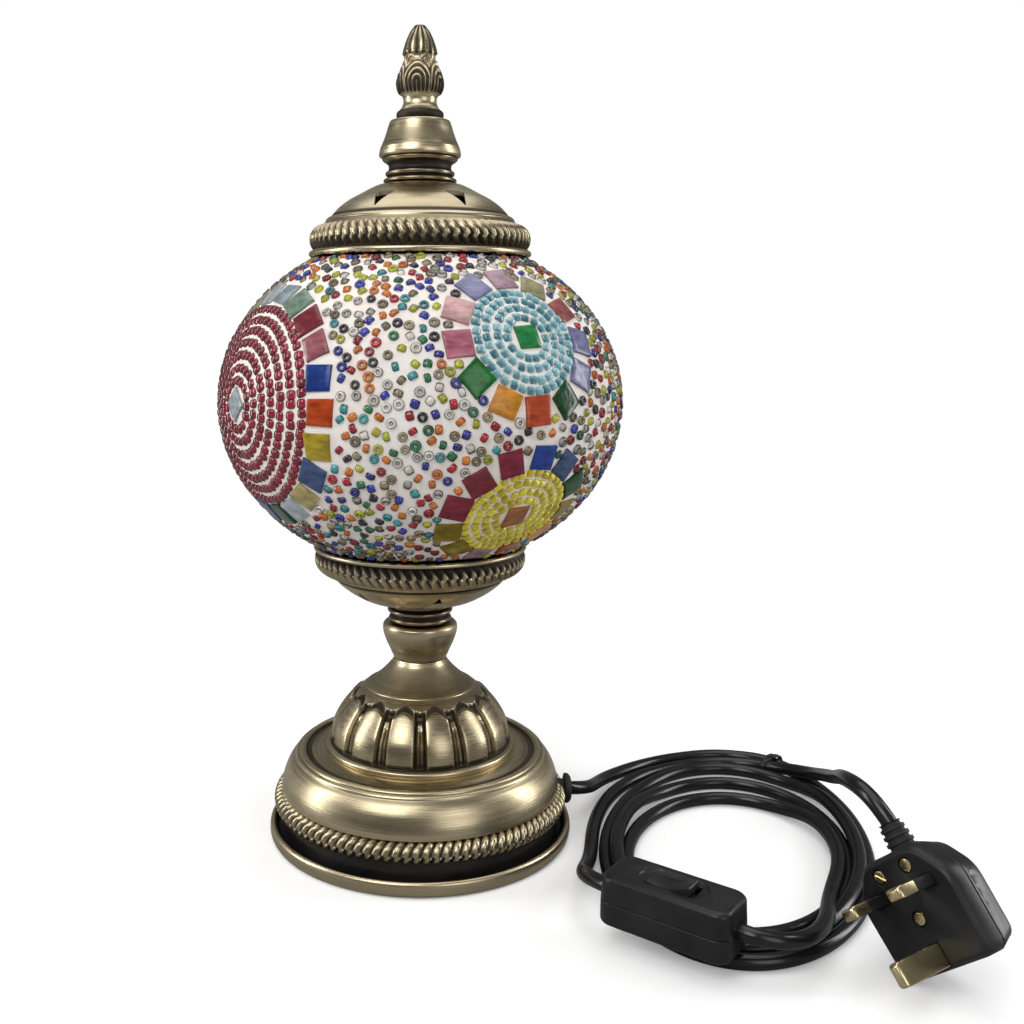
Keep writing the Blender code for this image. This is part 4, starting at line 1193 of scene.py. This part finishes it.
def build_grout():
    """Plaster skin: slightly lumpy outside, smooth where it lies on the glass."""
    columns = 280
    verts = []
    for half_sizes, rows, way, depth in ((GROUT_HALF, 120, 1, 0.12), (GLASS_HALF, 40, -1, 0.0)):
        for i in range(rows + 1):
            latitude = radians(way * (2 * GLOBE_EDGE * i / rows - GLOBE_EDGE))
            for k in range(columns):
                turn = tau * k / columns
                lump = depth * sin(turn * 31 + 5 * latitude) * sin(latitude * 37 + 2 * turn)
                level = (half_sizes[0] + lump) * cos(latitude)
                verts.append((level * cos(turn), level * sin(turn),
                              GLOBE_CENTRE.z + (half_sizes[1] + lump) * sin(latitude)))
    faces = grid_faces(len(verts) // columns, columns, True, True)
    make_piece("grout_skin", verts, faces, grout, "lamp", ["mosaic_shell"])


# ---- flex ----

CORD_RADIUS = 2.8
FLEX_RADIUS = 3.0               # soft jacket, swollen nearly to the width of its bores
CORD_REST = CORD_RADIUS + 0.3
CORD_HEIGHT = 17.5
EASE_STEP = 2.5                 # spacing of the flex's points when it is smoothed
EASE_ROUNDS = 22
COIL_OUTER = (58.0, -120.0, 74.0)       # half-width, front edge and back edge of the outermost turn
COIL_INNER = (43.0, -92.0, 16.0)        # the same of the innermost turn
COIL_X = 130.0
COIL_SHEAR = 0.2
TURN_STEP = 0.3                 # share of the way inwards that each turn winds
TURN_LIFT = 4.0                 # odd turns ride this much higher where the coil is narrow
PLUG_INSET = 0.17               # where the plug's flex lies at the back of the coil
TIE_TURN = 30.0
TIE_WIDTH = 2.8
TIE_THICKNESS = 1.4
SWITCH_LENGTH = 50.0
SWITCH_WIDTH = 23.0
SWITCH_SPLIT = 9.2
SWITCH_HOLLOW = (15.9, 9.6)     # half-length and half-width of the room inside
SWITCH_PLACE = (90.5, -105.5, 9.2)
SWITCH_TURN = -38.0
ROCKER_PIVOT = 14.6
ROCKER_LEAN = -9.0
PLUG_PLACE = (174.5, -120.2, 27.2)
PLUG_TURN = -58.0
PLUG_LEAN = -43.0
PLUG_ENTRY_Y = 5.0


def frame_matrix(place, lean, turn):
    return (Matrix.Translation(place) @ Matrix.Rotation(radians(turn), 4, 'Z')
            @ Matrix.Rotation(radians(lean), 4, 'Y'))


SWITCH_FRAME = frame_matrix(SWITCH_PLACE, 0, SWITCH_TURN)
PLUG_FRAME = frame_matrix(PLUG_PLACE, PLUG_LEAN, PLUG_TURN)


def coil_point(turn, inset, height=CORD_REST):
    """A point of the coil; turn is in degrees from the back, inset is 0 outermost, 1 innermost."""
    half, front, back = (a + (b - a) * inset for a, b in zip(COIL_OUTER, COIL_INNER))
    angle = radians(turn)
    y = (front + back) / 2 + (back - front) / 2 * cos(angle)
    x = COIL_X + half * sin(angle) + COIL_SHEAR * (y + 50)
    return (x, y, height)


def tie_lift(turn):
    """Height that the strap under two strands lifts them by."""
    away = abs((turn + 180) % 360 - 180 - TIE_TURN)
    return TIE_THICKNESS * (1 - ease(away, 5, 20))


def lamp_strand(turn):
    """A point of the lamp's flex in the coil, which winds inwards as it turns."""
    away = abs((turn + 180) % 360 - 180)
    widens = 124 if turn % 360 < 180 else 108
    narrow = ease(away, 35, 60) * (1 - ease(away, widens, widens + 34))
    odd = floor(turn / 360) % 2
    lift = TURN_LIFT * narrow * odd
    if turn < 180:
        lift += tie_lift(turn)
    return coil_point(turn, TURN_STEP * turn / 360, CORD_REST + lift)


def plug_strand(turn):
    """A point of the plug's flex, outermost at the left and second at the back."""
    inset = -0.2 + (PLUG_INSET + 0.2) * ease(turn, 280, 345)
    return coil_point(turn, inset, CORD_REST + tie_lift(turn) + 6 * ease(turn, 388, 407))


def switch_point(x):
    return tuple(SWITCH_FRAME @ Vector((x, 0, SWITCH_SPLIT)))


def plug_point(z):
    return tuple(PLUG_FRAME @ Vector((0, PLUG_ENTRY_Y, z)))


def lamp_flex_path():
    """From inside the foot, round the coil three and a third times, into the switch's right end."""
    path = [(24, 0, CORD_HEIGHT), (56, 0, CORD_HEIGHT), (69.5, 0, CORD_HEIGHT), (77, 7.5, 14.2),
            (82.8, 22, 9.6), (91.6, 39, 6), coil_point(-38, -0.17)]
    path += [lamp_strand(turn) for turn in range(-18, 1200, 8)]
    end = SWITCH_LENGTH / 2
    path += [(157, -79, 6), (153, -89.5, 9), (147.5, -102, 11), (139.5, -114, 13), (130, -123, 15.6),
             (121.3, -127, 17.7), switch_point(end + 7), switch_point(end), switch_point(end - 7)]
    return path


def plug_flex_path():
    """From the switch's left end round the left and back of the coil, then up to the plug."""
    end = -SWITCH_LENGTH / 2
    path = [switch_point(end + 7), switch_point(end), switch_point(end - 5), (64, -82, 17.6),
            (63.6, -73, 14.6), (65.6, -59, 8.6), (69.1, -46.5, 4.6)]
    path += [plug_strand(turn) for turn in range(262, 410, 8)]
    path += [(188.8, 28.5, 12), (187.5, 12, 18.5), (183, -10, 27), (175.5, -34, 37.5), (167.5, -56, 47),
             (162.3, -74, 54), (160.5, -86, 57.5), plug_point(40), plug_point(31), plug_point(22),
             plug_point(14)]
    return path


def eased(path, start_run, end_run):
    """The path redrawn at even steps and smoothed as stiff flex lies, straight at both ends."""
    even = [path[0]]
    travelled = 0.0
    for start, end in zip(path, path[1:]):
        length = (end - start).length
        while travelled + length >= EASE_STEP:
            share = (EASE_STEP - travelled) / length
            start = start.lerp(end, share)
            even.append(start)
            length = (end - start).length
            travelled = 0.0
        travelled += length
    even.append(path[-1])
    first = round(start_run / EASE_STEP)
    last = len(even) - round(end_run / EASE_STEP)
    for _ in range(EASE_ROUNDS):
        middle = [(even[i - 1] + even[i + 1]) / 4 + even[i] / 2 for i in range(first, last)]
        even[first:last] = middle
    return even


def build_cord(name, path, node, start_run, end_run):
    path = eased(smooth_run(path, 6), start_run, end_run)
    settled = [Vector((point.x, point.y, max(point.z, CORD_REST))) for point in path]
    from_bmesh(name, loft(tube(settled, FLEX_RADIUS)), flex_black, "lamp", [node], sharp=60)


def build_cable_tie():
    """Strap round the two outer strands at the back of the coil, with its square head."""
    outer = Vector(lamp_strand(TIE_TURN))
    along = (Vector(lamp_strand(TIE_TURN + 2)) - outer).normalized()
    nearby = [Vector(plug_strand(360 + TIE_TURN + offset)) for offset in range(-10, 11)]
    inner = min(nearby, key=lambda point: (point - outer).length)
    across = Vector((0, 0, 1)).cross(along)
    reach = (outer - inner).dot(across) / 2
    middle = outer - across * reach
    section = rounded_rectangle(0.5, TIE_WIDTH / 2, 0.4, 3)
    verts = []
    radius = CORD_RADIUS + 1.1
    for side, start in ((1, -90), (-1, 90)):
        for flat_out in arc((0, 0), 1, start, start + 180, 22):
            out = Vector(flat_out)
            spine = Vector((side * reach, 0)) + out * radius
            for away, sideways in section:
                flat = spine + out * away
                verts.append(middle + across * flat.x + Vector((0, 0, flat.y)) + along * sideways)
    faces = grid_faces(len(verts) // len(section), len(section), True, True)
    make_piece("cable_tie_strap", verts, faces, plastic, "lamp", ["cable_tie"])
    block = prism_z(rounded_rectangle(1.8, 1.7, 0.5, 3), 0, 1.5)
    turn = Matrix((across, along, (0, 0, 1))).transposed().to_4x4()
    top = middle + Vector((0, 0, radius - 0.2))
    from_bmesh("cable_tie_head", block, plastic, "lamp", (), Matrix.Translation(top) @ turn, (), 0.25)


def build_flex():
    build_cord("flex_lamp_side", lamp_flex_path(), "cord_lamp_to_switch", 44, 15)
    build_cord("flex_plug_side", plug_flex_path(), "cord_switch_to_plug", 11, 19)
    build_cable_tie()


# ---- switch ----

def cord_bore(low, high, height):
    """A cylinder along X that clears the flex, as a cutter."""
    ring = circle(32, (0, 0), CORD_RADIUS + 0.3)
    return loft([[(x, y, z + height) for y, z in ring] for x in (low, high)])


def rounded_over(layer, inset, height, reach, rise, steps):
    """Layers that turn an edge over in a quarter round; layer(inset, height) makes one of them."""
    angles = [radians(90 * step / steps) for step in range(1, steps + 1)]
    return [layer(inset + reach * (1 - cos(angle)), height + rise * sin(angle)) for angle in angles]


def build_switch():
    half_x = SWITCH_LENGTH / 2
    half_y = SWITCH_WIDTH / 2

    def layer(inset, height):
        return rounded_rectangle(half_x - inset, half_y - inset, 5.6 - inset * 0.6, 9), height

    room = rectangle(*SWITCH_HOLLOW)
    top = [layer(0.15, SWITCH_SPLIT + 0.1), layer(0.0, SWITCH_SPLIT + 0.35), layer(0.35, 14.6)]
    top += rounded_over(layer, 0.4, 16.6, 2.3, 2.3, 7)
    slot = rounded_rectangle(9.5, 4.35, 0.8, 3)
    recess = [(rounded_rectangle(12.6, 6.6, 6.2, 10), 18.1), (rounded_rectangle(13.4, 7.4, 7.0, 10), 19.3)]
    cutters = [prism_z(room, 6, 16.9), cord_bore(-40, 40, SWITCH_SPLIT), prism_z(slot, 15, 22),
               stack_z(recess)]
    from_bmesh("switch_top", stack_z(top), plastic, "lamp", ["switch_top_shell"], SWITCH_FRAME,
               cutters, 0.18)

    bottom = []
    for step in range(6):
        angle = radians(18 * step)
        bottom.append(layer(1.7 * (1 - sin(angle)), 1.7 * (1 - cos(angle))))
    bottom += [layer(0.0, SWITCH_SPLIT - 0.35), layer(0.2, SWITCH_SPLIT - 0.1)]
    cutters = [prism_z(room, 2.2, 12), cord_bore(-40, 40, SWITCH_SPLIT)]
    for side in (1, -1):
        cutters.append(prism_z(circle(24, (side * 19.6, side * 6.6), 3.1), -1, 2.9))
    from_bmesh("switch_bottom", stack_z(bottom), plastic, "lamp", ["switch_bottom_shell"], SWITCH_FRAME,
               cutters, 0.18)
    build_rocker()


def build_rocker():
    """Rocker with a dished top, its raised end to the right."""
    top = [(-8.4, 5.3), (-6.0, 4.7), (-3.0, 4.0), (0, 3.75), (3.0, 4.0), (6.0, 4.7), (8.4, 5.3)]
    top = [tuple(point) for point in smooth_run(top, 4)]
    under = [(8.7, 4.6), (8.2, 1.6), (4.8, -2.4), (0, -4.6), (-4.8, -2.4), (-8.2, 1.6), (-8.7, 4.6)]
    ring = top + under
    side = [(x * 0.985, z - 0.12) for x, z in ring]
    rocker = stack_y([(side, -4.0), (ring, -3.75), (ring, 3.75), (side, 4.0)])
    pivot_hole = prism_y(circle(24, (0, 0), 1.15), -6, 6)
    place = SWITCH_FRAME @ frame_matrix((0, 0, ROCKER_PIVOT), ROCKER_LEAN, 0)
    from_bmesh("rocker_cap", rocker, plastic, "rocker", ["rocker_button"], place, [pivot_hole], 0.22)


# ---- plug ----

FACE_Y = -7.0
PLUG_SPLIT_Y = 1.0
PIN_PITCH = 22.2
PIN_ROW = 7.4
EARTH_Z = PIN_ROW - PIN_PITCH
PLUG_SCREWS = (("plug_cover_screw", 0, -2.4), ("cord_grip_screw_a", 6.4, 14.4),
               ("cord_grip_screw_b", -6.4, 14.4))


def plug_outline(inset, corner=4.2):
    """Straight earth end, shoulders drawn in towards the flex."""
    corners = [(20 - inset, -20 + inset), (21 - inset, 8 - inset / 2), (12 - inset / 2, 20 - inset),
               (-12 + inset / 2, 20 - inset), (-21 + inset, 8 - inset / 2), (-20 + inset, -20 + inset)]
    return rounded_polygon(corners, corner, 7)


def plug_layer(inset, depth):
    return plug_outline(inset), depth


def relief_bore(low, high):
    """A cylinder along Z that takes the strain relief, as a cutter."""
    return prism_z(circle(32, (0, PLUG_ENTRY_Y), 5.2), low, high)


def build_plug():
    face = [(2.6, FACE_Y + 0.2), (1.9, FACE_Y), (1.4, FACE_Y + 0.1), (0.3, FACE_Y + 1.3),
            (0.0, FACE_Y + 2.2), (0.0, PLUG_SPLIT_Y - 0.4), (0.25, PLUG_SPLIT_Y - 0.12)]
    cutters = [relief_bore(11.5, 28)]
    for x, half_x, half_z, z in ((PIN_PITCH / 2, 3.4, 2.2, PIN_ROW), (-PIN_PITCH / 2, 3.4, 2.2, PIN_ROW),
                                 (0, 2.25, 4.25, EARTH_Z)):
        cutters.append(prism_y(rectangle(half_x, half_z, x, z), FACE_Y - 3, 0.8))
    for _, x, z in PLUG_SCREWS:
        cutters.append(prism_y(circle(28, (x, z), 2.75), FACE_Y - 2, FACE_Y + 2.5))
    from_bmesh("plug_face_half", stack_y([plug_layer(*step) for step in face]), plug_black, "lamp",
               ["plug_base"], PLUG_FRAME, cutters, 0.2)

    back = [(0.25, PLUG_SPLIT_Y + 0.12), (0.0, PLUG_SPLIT_Y + 0.4), (0.9, 5.2), (1.7, 8.4)]
    layers = [plug_layer(*step) for step in back] + rounded_over(plug_layer, 1.8, 8.6, 4.2, 4.4, 6)
    room = rectangle(15, 6.3, 0, PLUG_SPLIT_Y + 3.3)
    cutters = [prism_z(room, -15, 12), relief_bore(5, 28)]
    for side in (1, -1):
        for k in range(4):
            cutters.append(prism_y(rectangle(1.6, 0.8, side * 21.4, -9.0 + 4.4 * k), 2.6, 9.5))
    from_bmesh("plug_back_half", stack_y(layers), plastic, "lamp", ["plug_cover"], PLUG_FRAME, cutters, 0.25)
    build_strain_relief()
    build_pins()
    build_screws()


def build_strain_relief():
    bore = CORD_RADIUS + 0.3
    body = [(bore, 14.6), (4.8, 14.6)]
    for k in range(4):
        z = 19.2 + 2.5 * k
        reach = 5.3 - 0.28 * k
        body += [(reach, z - 0.1), (reach, z + 1.1), (reach - 0.9, z + 1.3), (reach - 0.9, z + 2.2)]
    body += [(4.1, 29.4), (bore, 29.4)]
    place = PLUG_FRAME @ Matrix.Translation((0, PLUG_ENTRY_Y, 0))
    lathe("strain_relief_boot", body, 40, rubber, "lamp", ["plug_strain_relief"], None, place)


def pin_ring(half_sizes, corner, x, z):
    ring = rounded_rectangle(half_sizes[0], half_sizes[1], corner, 4)
    return [(px + x, pz + z) for px, pz in ring]


def blade_layers(half_sizes, shares, x, z, tip_y, steps):
    """Layers of a pin; each step is how far behind the tip and how much smaller it is."""
    layers = []
    for behind, shrink in steps:
        sizes = [half - shrink * share for half, share in zip(half_sizes, shares)]
        layers.append((pin_ring(sizes, 0.5, x, z), tip_y + behind))
    return layers


def build_pins():
    tip_y = FACE_Y - 17.7
    for name, x in (("live_pin", PIN_PITCH / 2), ("neutral_pin", -PIN_PITCH / 2)):
        layers = blade_layers((3.18, 2.0), (1, 0.8), x, PIN_ROW, tip_y,
                              ((0, 1.1), (0.3, 0.6), (0.9, 0.2), (1.7, 0.0), (8.4, 0.0)))
        core = pin_ring((2.6, 1.45), 0.4, x, PIN_ROW)
        layers += [(core, tip_y + 8.45), (core, PLUG_SPLIT_Y - 0.5)]
        from_bmesh(name + "_blade", stack_y(layers), bright_brass, "lamp", [name], PLUG_FRAME)
        sleeve = prism_y(pin_ring((3.18, 2.0), 0.5, x, PIN_ROW), tip_y + 8.7, PLUG_SPLIT_Y - 1.6)
        bore = prism_y(pin_ring((2.85, 1.7), 0.4, x, PIN_ROW), tip_y + 4, 4)
        from_bmesh(name + "_sleeve_moulding", sleeve, plastic, "lamp", [name + "_sleeve"], PLUG_FRAME,
                   [bore], 0.12)
    tip_y = FACE_Y - 22.7
    length = PLUG_SPLIT_Y - 0.5 - tip_y
    steps = ((0, 1.2), (0.35, 0.65), (1.0, 0.22), (1.9, 0.0), (length, 0.0))
    layers = blade_layers((2.0, 4.0), (0.7, 1), 0, EARTH_Z, tip_y, steps)
    from_bmesh("earth_pin_blade", stack_y(layers), bright_brass, "lamp", ["earth_pin"], PLUG_FRAME)


def build_screws():
    """Slotted pan heads down in their wells."""
    profile = ((1.5, FACE_Y + 0.3), (2.1, FACE_Y + 0.45), (2.35, FACE_Y + 0.8), (2.4, FACE_Y + 2.2),
               (1.3, FACE_Y + 2.25), (1.3, PLUG_SPLIT_Y - 1))
    for number, (name, x, z) in enumerate(PLUG_SCREWS):
        layers = [(circle(24, (x, z), reach), depth) for reach, depth in profile]
        angle = radians(35 + 50 * number)
        slot = [(x + u * cos(angle) - v * sin(angle), z + u * sin(angle) + v * cos(angle))
                for u, v in rectangle(3, 0.35)]
        from_bmesh(name + "_head", stack_y(layers), bright_brass, "lamp", [name], PLUG_FRAME,
                   [prism_y(slot, FACE_Y - 1, FACE_Y + 1)])


# ---- inside ----

THREAD_PITCH = 2.82            # of the bulb and its holder
THREAD_STEP = 0.28             # spacing of the outline's points along a thread


def thread_relief(pitch, low, high, depth, inner=0.0, outer=100.0):
    """Helical thread between two heights, on the surface that lies between two radii."""
    def relief(angle, radius, height):
        if not inner < radius < outer:
            return 0.0, 0.0
        fade = ease(height, low, low + pitch / 2) * (1 - ease(height, high - pitch / 2, high))
        wave = sin(tau * height / pitch - angle)
        return depth * wave * fade, -wave * fade
    return relief


def build_bulb():
    neck = [(5.9, 148.3), (5.9, 156.5), (6.9, 160.0), (9.2, 163.9), (12.6, 168.2), (16.72, 172.94)]
    glass = smooth_run(neck, 5)[:-1] + arc((0, 188), 22.5, -42, 89.9, 24)
    glass += arc((0, 188), 21.7, 89.9, -42, 12) + [(12.0, 168.9), (8.4, 164.4), (5.1, 157.5), (5.1, 148.3)]
    lathe("opal_bulb", glass, 72, bulb_opal, "bulb", ["bulb_glass"])
    cap = [(0.02, 132.4), (4.2, 132.4), (5.4, 133.2), (6.8, 134.8)]
    cap += [(6.8, 135.2 + THREAD_STEP * k) for k in range(68)]
    cap += [(6.9, 156.0), (6.2, 156.0), (6.2, 135.2), (0.02, 134.1)]
    lathe("bulb_threaded_cap", cap, 60, bright_brass, "bulb", ["bulb_screw_cap"],
          thread_relief(THREAD_PITCH, 136.0, 152.0, 0.3, inner=6.7))


def grip_relief(angle, radius, height):
    """Finger ribs up the lower half of the lampholder's skirt."""
    rib = abs(sin(12 * angle)) ** 0.5 * ease(height, 124.5, 126) * (1 - ease(height, 140, 142))
    return (-0.5 * rib, 0.0) if radius > 12 else (0.0, 0.0)


def build_inside():
    """Threads and mouldings that show when the cap is lifted off."""
    stud = [(0.02, 318), (1.9, 318), (2.3, 317.6)] + [(2.25, 317.4 - 0.125 * k) for k in range(497)]
    stud += [(1.9, 255), (0.02, 255)]
    lathe("cap_stud_thread", stud, 20, zinc, "cap", ["cap_stud"], thread_relief(0.8, 256, 317, 0.14),
          closed=False, sharp=60)
    skirt = outline([(8.7, 152.0), (12.0, 152.0), (12.7, 151.3)], [(12.8, 124.2)], [(12.4, 123.7)],
                    [(0.1, 123.7)], [(0.1, 127.0)], [(8.7, 127.0)], [(8.7, 152.0)], steps=10)
    lathe("lampholder_skirt_moulding", skirt, 144, plastic, "lamp", ["lampholder_skirt"], grip_relief)
    shell = [(8.15, 150), (8.15, 130.4), (7.75, 130.4)]
    shell += [(7.75, 131.0 + THREAD_STEP * k) for k in range(67)] + [(7.75, 150)]
    lathe("lampholder_thread", shell, 60, bright_brass, "lamp", ["lampholder_screw_shell"],
          thread_relief(THREAD_PITCH, 131.5, 149.5, -0.28, outer=8))
    gasket = outline([(36.9, 121.0), (38.7, 120.7), (41.0, 122.1), (42.6, 124.7), (43.3, 127.1),
                      (43.3, 129.6), (42.8, 130.2)], [(37.4, 130.2), (36.9, 129.7)], [(36.9, 121.0)])
    lathe("gasket_ring", gasket, 96, rubber, "lamp", ["globe_gasket"])


# ---- pieces kept from the CAD ----

KEPT = (
    (bright_brass, ("lampholder_contact", "switch_contact_a", "switch_contact_b")),
    (zinc, ("threaded_rod", "rod_nut_bottom", "rod_nut_top", "rod_washer", "bulb_contact", "cap_nut",
            "clip_bridge", "bridge_nut", "spring_clip_1", "spring_clip_2", "spring_clip_3",
            "switch_screw_a", "switch_screw_b", "rocker_pin")),
    (iron, ("ballast_weight",)),
    (plastic, ("lampholder_base",)),
    (green_felt, ("felt_pad",)),
    (globe_glass, ("globe_glass",)),
    (ceramic, ("lamp_wires", "switch_cradle", "plug_fuse")),
)


def finish_cad_nodes():
    for look, names in KEPT:
        for name in names:
            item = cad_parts[name]
            item.data.materials.clear()
            item.data.materials.append(look)
            item.data.shade_smooth()
            item.data.set_sharp_from_angle(angle=radians(35))


# ---- the studio ----

FLOOR_REFLECTED = (0.30, 0.30, 0.30)
FLOOR_BOUNCE = (0.42, 0.42, 0.42)
FLOOR_GLOW = 0.18               # lightens the shadows the camera sees
FLOOR_NEAR = 0.24               # distances over which the floor fades to plain white
FLOOR_FAR = 0.60
BACKDROP = 1.0
ROOM_DIFFUSE = 0.30
ROOM_GLOSSY = 0.14
FLOOR_HALF = 6.0
LIGHT_TARGET = (0.05, 0, 0.15)
LIGHTS = (                      # name, place, width, height and power; metres and watts
    ("key", (-0.55, -0.95, 1.05), 0.8, 0.8, 8),
    ("front_fill", (0.65, -1.15, 0.55), 0.6, 0.9, 3),
    ("left_strip", (-1.0, 0.0, 0.35), 0.25, 1.0, 5),
    ("right_strip", (1.1, 0.1, 0.4), 0.25, 1.0, 5),
    ("overhead", (0.0, 0.15, 1.3), 1.4, 1.4, 9),
)
CAMERA_PLACE = (0, -0.47, 0.2255)
CAMERA_PITCH = 80.2             # from straight down
CAMERA_LENS = 38.67
CAMERA_SHIFT = 0.0898


def area_light(name, place, width, height, power):
    data = bpy.data.lights.new(name, 'AREA')
    data.shape = 'RECTANGLE'
    data.size = width
    data.size_y = height
    data.energy = power
    item = linked(name, data)
    item.location = place
    direction = Vector(LIGHT_TARGET) - Vector(place)
    item.rotation_euler = direction.to_track_quat('-Z', 'Y').to_euler()


def floor_look():
    """Pale matt floor: plain white far off and to the camera, duller where it is only reflected."""
    look = Finish("studio_floor", "none")
    point = look.object_point()
    grain = look.noise(point, 12, 3)
    rays = look.tree.nodes.new("ShaderNodeLightPath").outputs
    seen = rays["Is Camera Ray"]
    pale = look.mix(grain, (0.90, 0.90, 0.90), (0.93, 0.93, 0.93))
    unseen = look.mix(rays["Is Glossy Ray"], FLOOR_BOUNCE, FLOOR_REFLECTED)
    look.set(Base_Color=look.mix(seen, unseen, pale), Specular_IOR_Level=0.1,
             Roughness=look.spread(grain, 0.3, 0.7, 0.85, 0.95), Emission_Color=(1, 1, 1),
             Emission_Strength=look.math('MULTIPLY', seen, FLOOR_GLOW))
    far = look.node("ShaderNodeVectorMath", Vector=point)
    far.operation = 'LENGTH'
    blend = look.math('MULTIPLY', look.spread(far.outputs["Value"], FLOOR_NEAR, FLOOR_FAR), seen)
    white = look.node("ShaderNodeEmission", Strength=BACKDROP)
    chosen = look.node("ShaderNodeMixShader")
    look.feed(chosen.inputs[0], blend)
    look.feed(chosen.inputs[1], look.shader.outputs[0])
    look.feed(chosen.inputs[2], white.outputs[0])
    look.feed(look.tree.nodes["Material Output"].inputs["Surface"], chosen.outputs[0])
    return look.material


def build_floor():
    mesh = bpy.data.meshes.new("floor")
    mesh.from_pydata([(x, y, 0) for x, y in rectangle(FLOOR_HALF, FLOOR_HALF)], [], [(0, 1, 2, 3)])
    mesh.materials.append(floor_look())
    linked("floor", mesh)


def build_world():
    """White behind the object; a dim room in reflections, so that metal keeps its contrast."""
    world = bpy.data.worlds.new("studio")
    bpy.context.scene.world = world
    world.use_nodes = True
    tree = world.node_tree
    path = tree.nodes.new("ShaderNodeLightPath").outputs
    parts = []
    for strength in (ROOM_DIFFUSE, ROOM_GLOSSY, BACKDROP):
        part = tree.nodes.new("ShaderNodeBackground")
        part.inputs["Color"].default_value = (1, 1, 1, 1)
        part.inputs["Strength"].default_value = strength
        parts.append(part.outputs[0])
    surface = parts[0]
    for ray, part in (("Is Glossy Ray", parts[1]), ("Is Camera Ray", parts[2])):
        chosen = tree.nodes.new("ShaderNodeMixShader")
        tree.links.new(path[ray], chosen.inputs[0])
        tree.links.new(surface, chosen.inputs[1])
        tree.links.new(part, chosen.inputs[2])
        surface = chosen.outputs[0]
    tree.links.new(surface, tree.nodes["World Output"].inputs["Surface"])


def build_studio():
    build_floor()
    build_world()
    for light in LIGHTS:
        area_light(*light)
    bpy.context.scene.view_settings.view_transform = 'Standard'


def build_camera():
    data = bpy.data.cameras.new("camera")
    data.sensor_width = 36
    data.lens = CAMERA_LENS
    data.shift_x = CAMERA_SHIFT
    data.clip_start = 0.02
    item = linked("camera", data)
    item.location = CAMERA_PLACE
    item.rotation_euler = (radians(CAMERA_PITCH), 0, 0)
    bpy.context.scene.camera = item


build_foot()
build_bell()
build_column()
build_dish()
build_cap()
build_finial()
build_globe()
build_bulb()
build_inside()
build_flex()
build_switch()
build_plug()
finish_cad_nodes()
build_studio()
build_camera()
